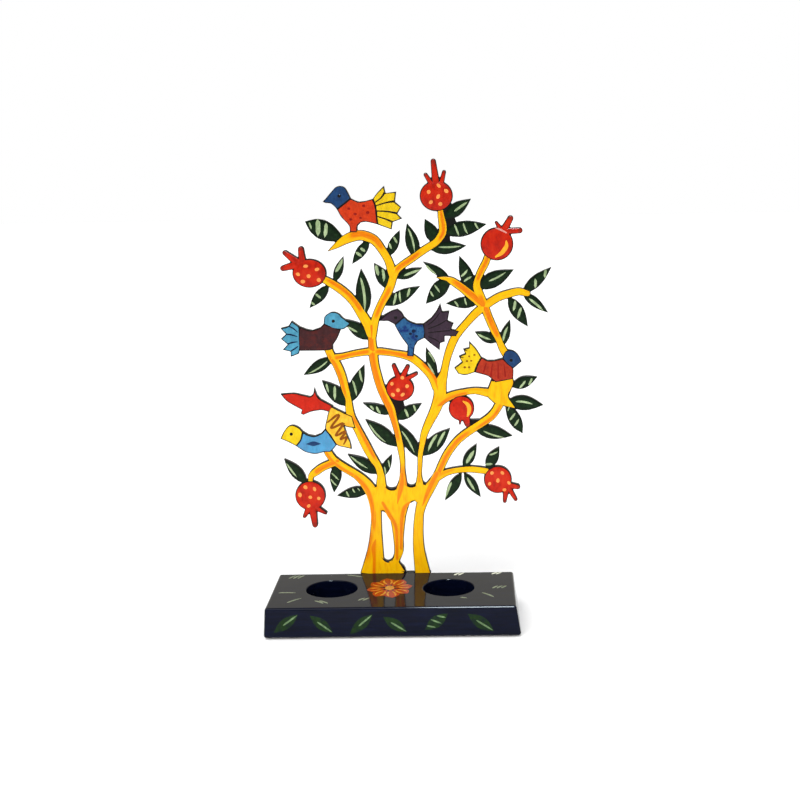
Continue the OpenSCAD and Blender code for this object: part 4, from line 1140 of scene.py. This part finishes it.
def kept_inside(track, shapes, margin=0.6):
    """The track without the ends that come nearer than margin to the shapes' outer edge."""
    spots = track[:, :2]
    deep = [inside(spots, [s]) & (edge_distance(spots, s) > margin) for s in shapes]
    within = np.flatnonzero(np.any(deep, axis=0))
    return track[within[0]:within[-1] + 1]


def bird(name, plan):
    """A bird: its body, tail and head, the lines and spots on them, and its eye."""
    body_paint, head_paint, tail_paint = plan["paints"]
    paints = dict.fromkeys([*plan["paints"], "ink", "pale", *plan["lines"], *plan["spots"]])
    layer = Layer(name, paints)
    shapes = []
    for part, paint, crown in (("body", body_paint, 0.68), ("tail", tail_paint, 0.64),
                               ("head", head_paint, 0.72)):
        shapes.append(drawn(plan[part]))
        plate(layer, shapes[-1], paint, 0.46, crown)
    for paint, lines in plan["lines"].items():
        for line in lines:
            track = kept_inside(spline(line, 0.7), shapes)
            ribbon(layer, track, paint, 0.72, 0.86, round_ends=True)
    for paint, spots in plan["spots"].items():
        for x, z, radius in spots:
            dome(layer, (x, z), (radius, radius * 0.85), paint, 0.7, 0.78, rings=3, sides=20)
    dome(layer, plan["eye"], (1.25, 1.25), "ink", 0.74, 0.95, rings=4, sides=24)
    layer.finish()


# ---------------------------------------------------------------- the block


def block():
    """The lacquered block: leaning ends, soft edges, and two wells with eased mouths."""
    low, high = BLOCK_LOW, BLOCK_HIGH
    skin = SKIN * MM
    edge = 1.9 * MM
    half_top = 92.25 * MM - skin
    lean_left, lean_right = 1.5 * MM, 3.5 * MM      # how much further the ends reach below
    left, right = MIDDLE_X - half_top - lean_left, MIDDLE_X + half_top + lean_right
    work = bmesh.new()
    corners = [(left, low.z), (right, low.z), (MIDDLE_X + half_top, high.z - skin),
               (MIDDLE_X - half_top, high.z - skin)]
    front = [work.verts.new((x, low.y + skin, z)) for x, z in corners]
    back = [work.verts.new((x, high.y, z)) for x, z in corners]
    work.faces.new(front)
    work.faces.new(back[::-1])
    for i in range(4):
        j = (i + 1) % 4
        work.faces.new([front[j], front[i], back[i], back[j]])
    bmesh.ops.recalc_face_normals(work, faces=work.faces)
    bmesh.ops.bevel(work, geom=work.edges[:], offset=edge, segments=6, profile=0.5,
                    affect="EDGES", clamp_overlap=True)
    mesh = bpy.data.meshes.new("block")
    work.to_mesh(mesh)
    work.free()
    body = placed("block_body", mesh)
    cutters = [well_cutter(well) for well in WELLS]
    for cutter in cutters:
        cut = body.modifiers.new("well", "BOOLEAN")
        cut.operation, cut.solver, cut.object = "DIFFERENCE", "EXACT", cutter
    bpy.context.view_layer.update()
    evaluated = body.evaluated_get(bpy.context.evaluated_depsgraph_get())
    carved = bpy.data.meshes.new_from_object(evaluated)
    for spare in [body, *cutters]:
        bpy.data.objects.remove(spare)
    carved.materials.clear()
    carved.materials.append(PAINTS["block"])
    piece = finished("lacquered_block", carved, 32)
    piece.modifiers.new("flat_faces", "WEIGHTED_NORMAL").keep_sharp = True
    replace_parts(piece, "base_block")


def turned(x, y, profile, shares):
    """Rings round an upright axis, one for each (radius, z), with a point for each share."""
    steps = [(w, 2 * math.pi * k / len(shares)) for k, w in enumerate(shares)]
    return [[(x + r * w * math.cos(a), y + r * w * math.sin(a), z) for w, a in steps]
            for r, z in profile]


def ring_mesh(name, rings):
    """A closed mesh from rings of points."""
    mesh = bpy.data.meshes.new(name)
    mesh.from_pydata([p for ring in rings for p in ring], [], lofted(rings))
    return mesh


def well_cutter(well):
    """A round cutter with a flared mouth and a small fillet at the floor of the well."""
    x, y, mouth = well["pos_m"]
    radius, depth = well["dims"]["r_mm"] * MM, well["dims"]["length_mm"] * MM
    ease, fillet, top = 0.8 * MM, 1.2 * MM, BLOCK_HIGH.z - SKIN * MM
    floor = mouth - depth
    turns = np.linspace(0, math.pi / 2, 7)
    profile = [(radius - fillet + fillet * math.sin(a), floor + fillet - fillet * math.cos(a))
               for a in turns]
    profile += [(radius + ease - ease * math.cos(a), top - ease + ease * math.sin(a))
                for a in turns]
    profile += [(radius + ease, top + 2 * MM)]
    return placed("cutter", ring_mesh("cutter", turned(x, y, profile, [1] * 128)))


def block_leaves():
    """The row of leaves along the block's front."""
    layer = Layer("block_front_leaves", ["front_leaf", "front_vein"], BLOCK_FRONT)
    for leaf, strokes in FRONT_LEAVES:
        ribbon(layer, leaf_track(leaf, bias=1.0), "front_leaf", 0.02, 0.05)
        for t0, v0, t1, v1, width in strokes:
            brush_stroke(layer, leaf_point(leaf, t0, v0), leaf_point(leaf, t1, v1), width,
                         "front_vein", 0.05, 0.085)
    layer.finish()


def block_strokes():
    """The loose strokes on the block's top."""
    layer = Layer("block_top_strokes", ["faint", "bright"], BLOCK_TOP)
    for x0, y0, x1, y1, count, paint in TOP_STROKES:
        for k in range(count):
            aside = k * STROKE_GAP
            brush_stroke(layer, (x0 + aside, y0), (x1 + aside, y1), 1.9, paint, 0.02, 0.08,
                         bend=0.05)
    layer.finish()


def block_flower():
    """Eight petals, drawn longer from front to back, each with two yellow strokes."""
    layer = Layer("block_flower", ["petal", "petal_line"], BLOCK_TOP)
    centre = np.array(FLOWER["centre"])
    reach = FLOWER["outer"]
    for k in range(FLOWER["petals"]):
        angle = 2 * math.pi * (k + 0.25) / FLOWER["petals"]
        out = np.array([math.cos(angle), FLOWER["stretch"] * math.sin(angle)])
        side = np.array([-math.sin(angle), math.cos(angle)])
        petal = [*(centre + out * 2), *(centre + out * reach), FLOWER["petal_width"]]
        ribbon(layer, leaf_track(petal, bias=1.5), "petal", 0.02, 0.05)
        for way in (-1, 1):
            brush_stroke(layer, centre + out * reach * 0.4 + side * way * 1.3,
                         centre + out * reach * 0.85 + side * way * 2.2, 1.5, "petal_line",
                         0.05, 0.085, bend=way * 0.12)
    dome(layer, centre, (FLOWER["inner"], FLOWER["inner"] * FLOWER["stretch"]), "petal_line",
         0.05, 0.085, sides=32)
    layer.finish()


def felt_pad(name):
    """A soft-edged felt disc with a slightly uneven rim."""
    low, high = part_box(name)
    centre = (low + high) / 2
    radius, thickness = (high.x - low.x) / 2, high.z - low.z
    draw = random.Random(name)
    shares = [1 - draw.uniform(0.0, 0.012) for _ in range(60)]
    soft = 0.3 * MM
    turns = np.linspace(0, math.pi / 2, 5)
    profile = [(radius - soft + soft * math.sin(a), low.z + soft - soft * math.cos(a))
               for a in turns]
    profile += [(radius - soft + soft * math.cos(a), low.z + thickness - soft + soft * math.sin(a))
                for a in turns]
    mesh = ring_mesh(name, turned(centre.x, centre.y, profile, shares))
    mesh.materials.append(FELT)
    piece = finished("felt_" + name, mesh, 50)
    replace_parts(piece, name)


tree_board()
limbs()
leaves()
for name, fruit in POMEGRANATES.items():
    pomegranate(name, fruit)
blossom()
for name, plan in BIRDS.items():
    bird(name, plan)
block()
block_leaves()
block_strokes()
block_flower()
FELT = felt()
for name in PADS:
    felt_pad(name)
STEEL = brushed_steel()
for name in SCREWS:
    for slot in frame["nodes"][name].material_slots:
        slot.material = STEEL

# ---------------------------------------------------------------- camera, floor and light


EYE = (MIDDLE_X + 0.0616, MIDDLE_Y - 0.9446, 0.3507)
PAN, TILT, ROLL = 0.568, -10.838, 0.879      # degrees round Z, X and Y
LENS, SENSOR = 58.63, 36                     # mm
SIDE_SHIFT = -0.074                          # the part of the frame that the view is shifted by


def camera():
    """The photograph's place: a little right of the middle, and looking down 11 degrees."""
    data = bpy.data.cameras.new("camera")
    data.sensor_width, data.lens, data.shift_x = SENSOR, LENS, SIDE_SHIFT
    eye = placed("camera", data)
    turn = (Matrix.Rotation(math.radians(PAN), 3, "Z")
            @ Matrix.Rotation(math.radians(TILT), 3, "X")
            @ Matrix.Rotation(math.radians(ROLL), 3, "Y"))
    right, ahead, up = (turn @ Vector(v) for v in ((1, 0, 0), (0, 1, 0), (0, 0, 1)))
    eye.matrix_world = Matrix.Translation(EYE) @ Matrix(
        [(right[i], up[i], -ahead[i]) for i in range(3)]).to_4x4()
    bpy.context.scene.camera = eye


def floor():
    """A wide sheet of paper for the object to stand on."""
    mesh = bpy.data.meshes.new("floor")
    reach = 6.0
    mesh.from_pydata([(-reach, -reach, 0), (reach, -reach, 0), (reach, reach, 0),
                      (-reach, reach, 0)], [], [(0, 1, 2, 3)])
    mesh.materials.append(floor_paper())
    placed("floor", mesh)


def area_light(name, place, aim, size, power, colour, unlit):
    """A rectangular light that leaves either diffuse or glossy looks unlit."""
    data = bpy.data.lights.new(name, "AREA")
    data.shape = "RECTANGLE"
    data.size, data.size_y = size
    data.energy, data.color = power, colour
    lamp = placed(name, data)
    lamp.visible_diffuse, lamp.visible_glossy = unlit != "diffuse", unlit != "glossy"
    lamp.location = place
    lamp.rotation_euler = (Vector(aim) - Vector(place)).to_track_quat("-Z", "Y").to_euler()


def studio():
    """A white surround, dimmer in front and in reflections, and a soft key light.

    A strip above gives the block's front edge its highlight, and a faint light in front
    fills the foot of the tree."""
    world = bpy.data.worlds.new("studio")
    bpy.context.scene.world = world
    world.use_nodes = True
    tree = world.node_tree
    tree.nodes.clear()
    way = node(tree, "TexCoord").outputs["Generated"]
    parts = node(tree, "SeparateXYZ", {"Vector": way})
    toward = node(tree, "Math", {0: parts.outputs["Z"], 1: 0.8, 2: parts.outputs["Y"]},
                  operation="MULTIPLY_ADD").outputs[0]
    level = node(tree, "MapRange", {"Value": toward, "From Min": -0.7, "From Max": 0.9,
                                    "To Min": 0.3, "To Max": 1.15}).outputs[0]
    ray = node(tree, "LightPath").outputs
    shade = blended(tree, ray["Is Glossy Ray"], grey(1.0), (0.68, 0.65, 0.55, 1.0))
    lit = node(tree, "Background", {"Color": shade, "Strength": level})
    seen = node(tree, "Background", {"Color": grey(1.0), "Strength": 1.0})
    both = node(tree, "MixShader", {0: ray["Is Camera Ray"], 1: lit.outputs[0],
                                    2: seen.outputs[0]})
    node(tree, "OutputWorld", {"Surface": both.outputs[0]})
    key = bpy.data.lights.new("key", "SUN")
    key.energy = 1.8
    key.angle = math.radians(50)
    lamp = placed("key", key)
    lamp.rotation_euler = Vector((0.35, 0.75, -1.0)).to_track_quat("-Z", "Y").to_euler()
    area_light("edge_strip", (0.06, -0.66, 1.16), (0.03, -0.04, 0.02), (0.2, 1.1), 55,
               (0.8, 0.92, 1.0), unlit="diffuse")
    area_light("foot_fill", (MIDDLE_X, -0.22, 0.05), (MIDDLE_X, 0.04, 0.05), (0.25, 0.05), 0.26,
               (1.0, 0.98, 0.94), unlit="glossy")


camera()
floor()
studio()
bpy.context.scene.view_settings.view_transform = "Standard"
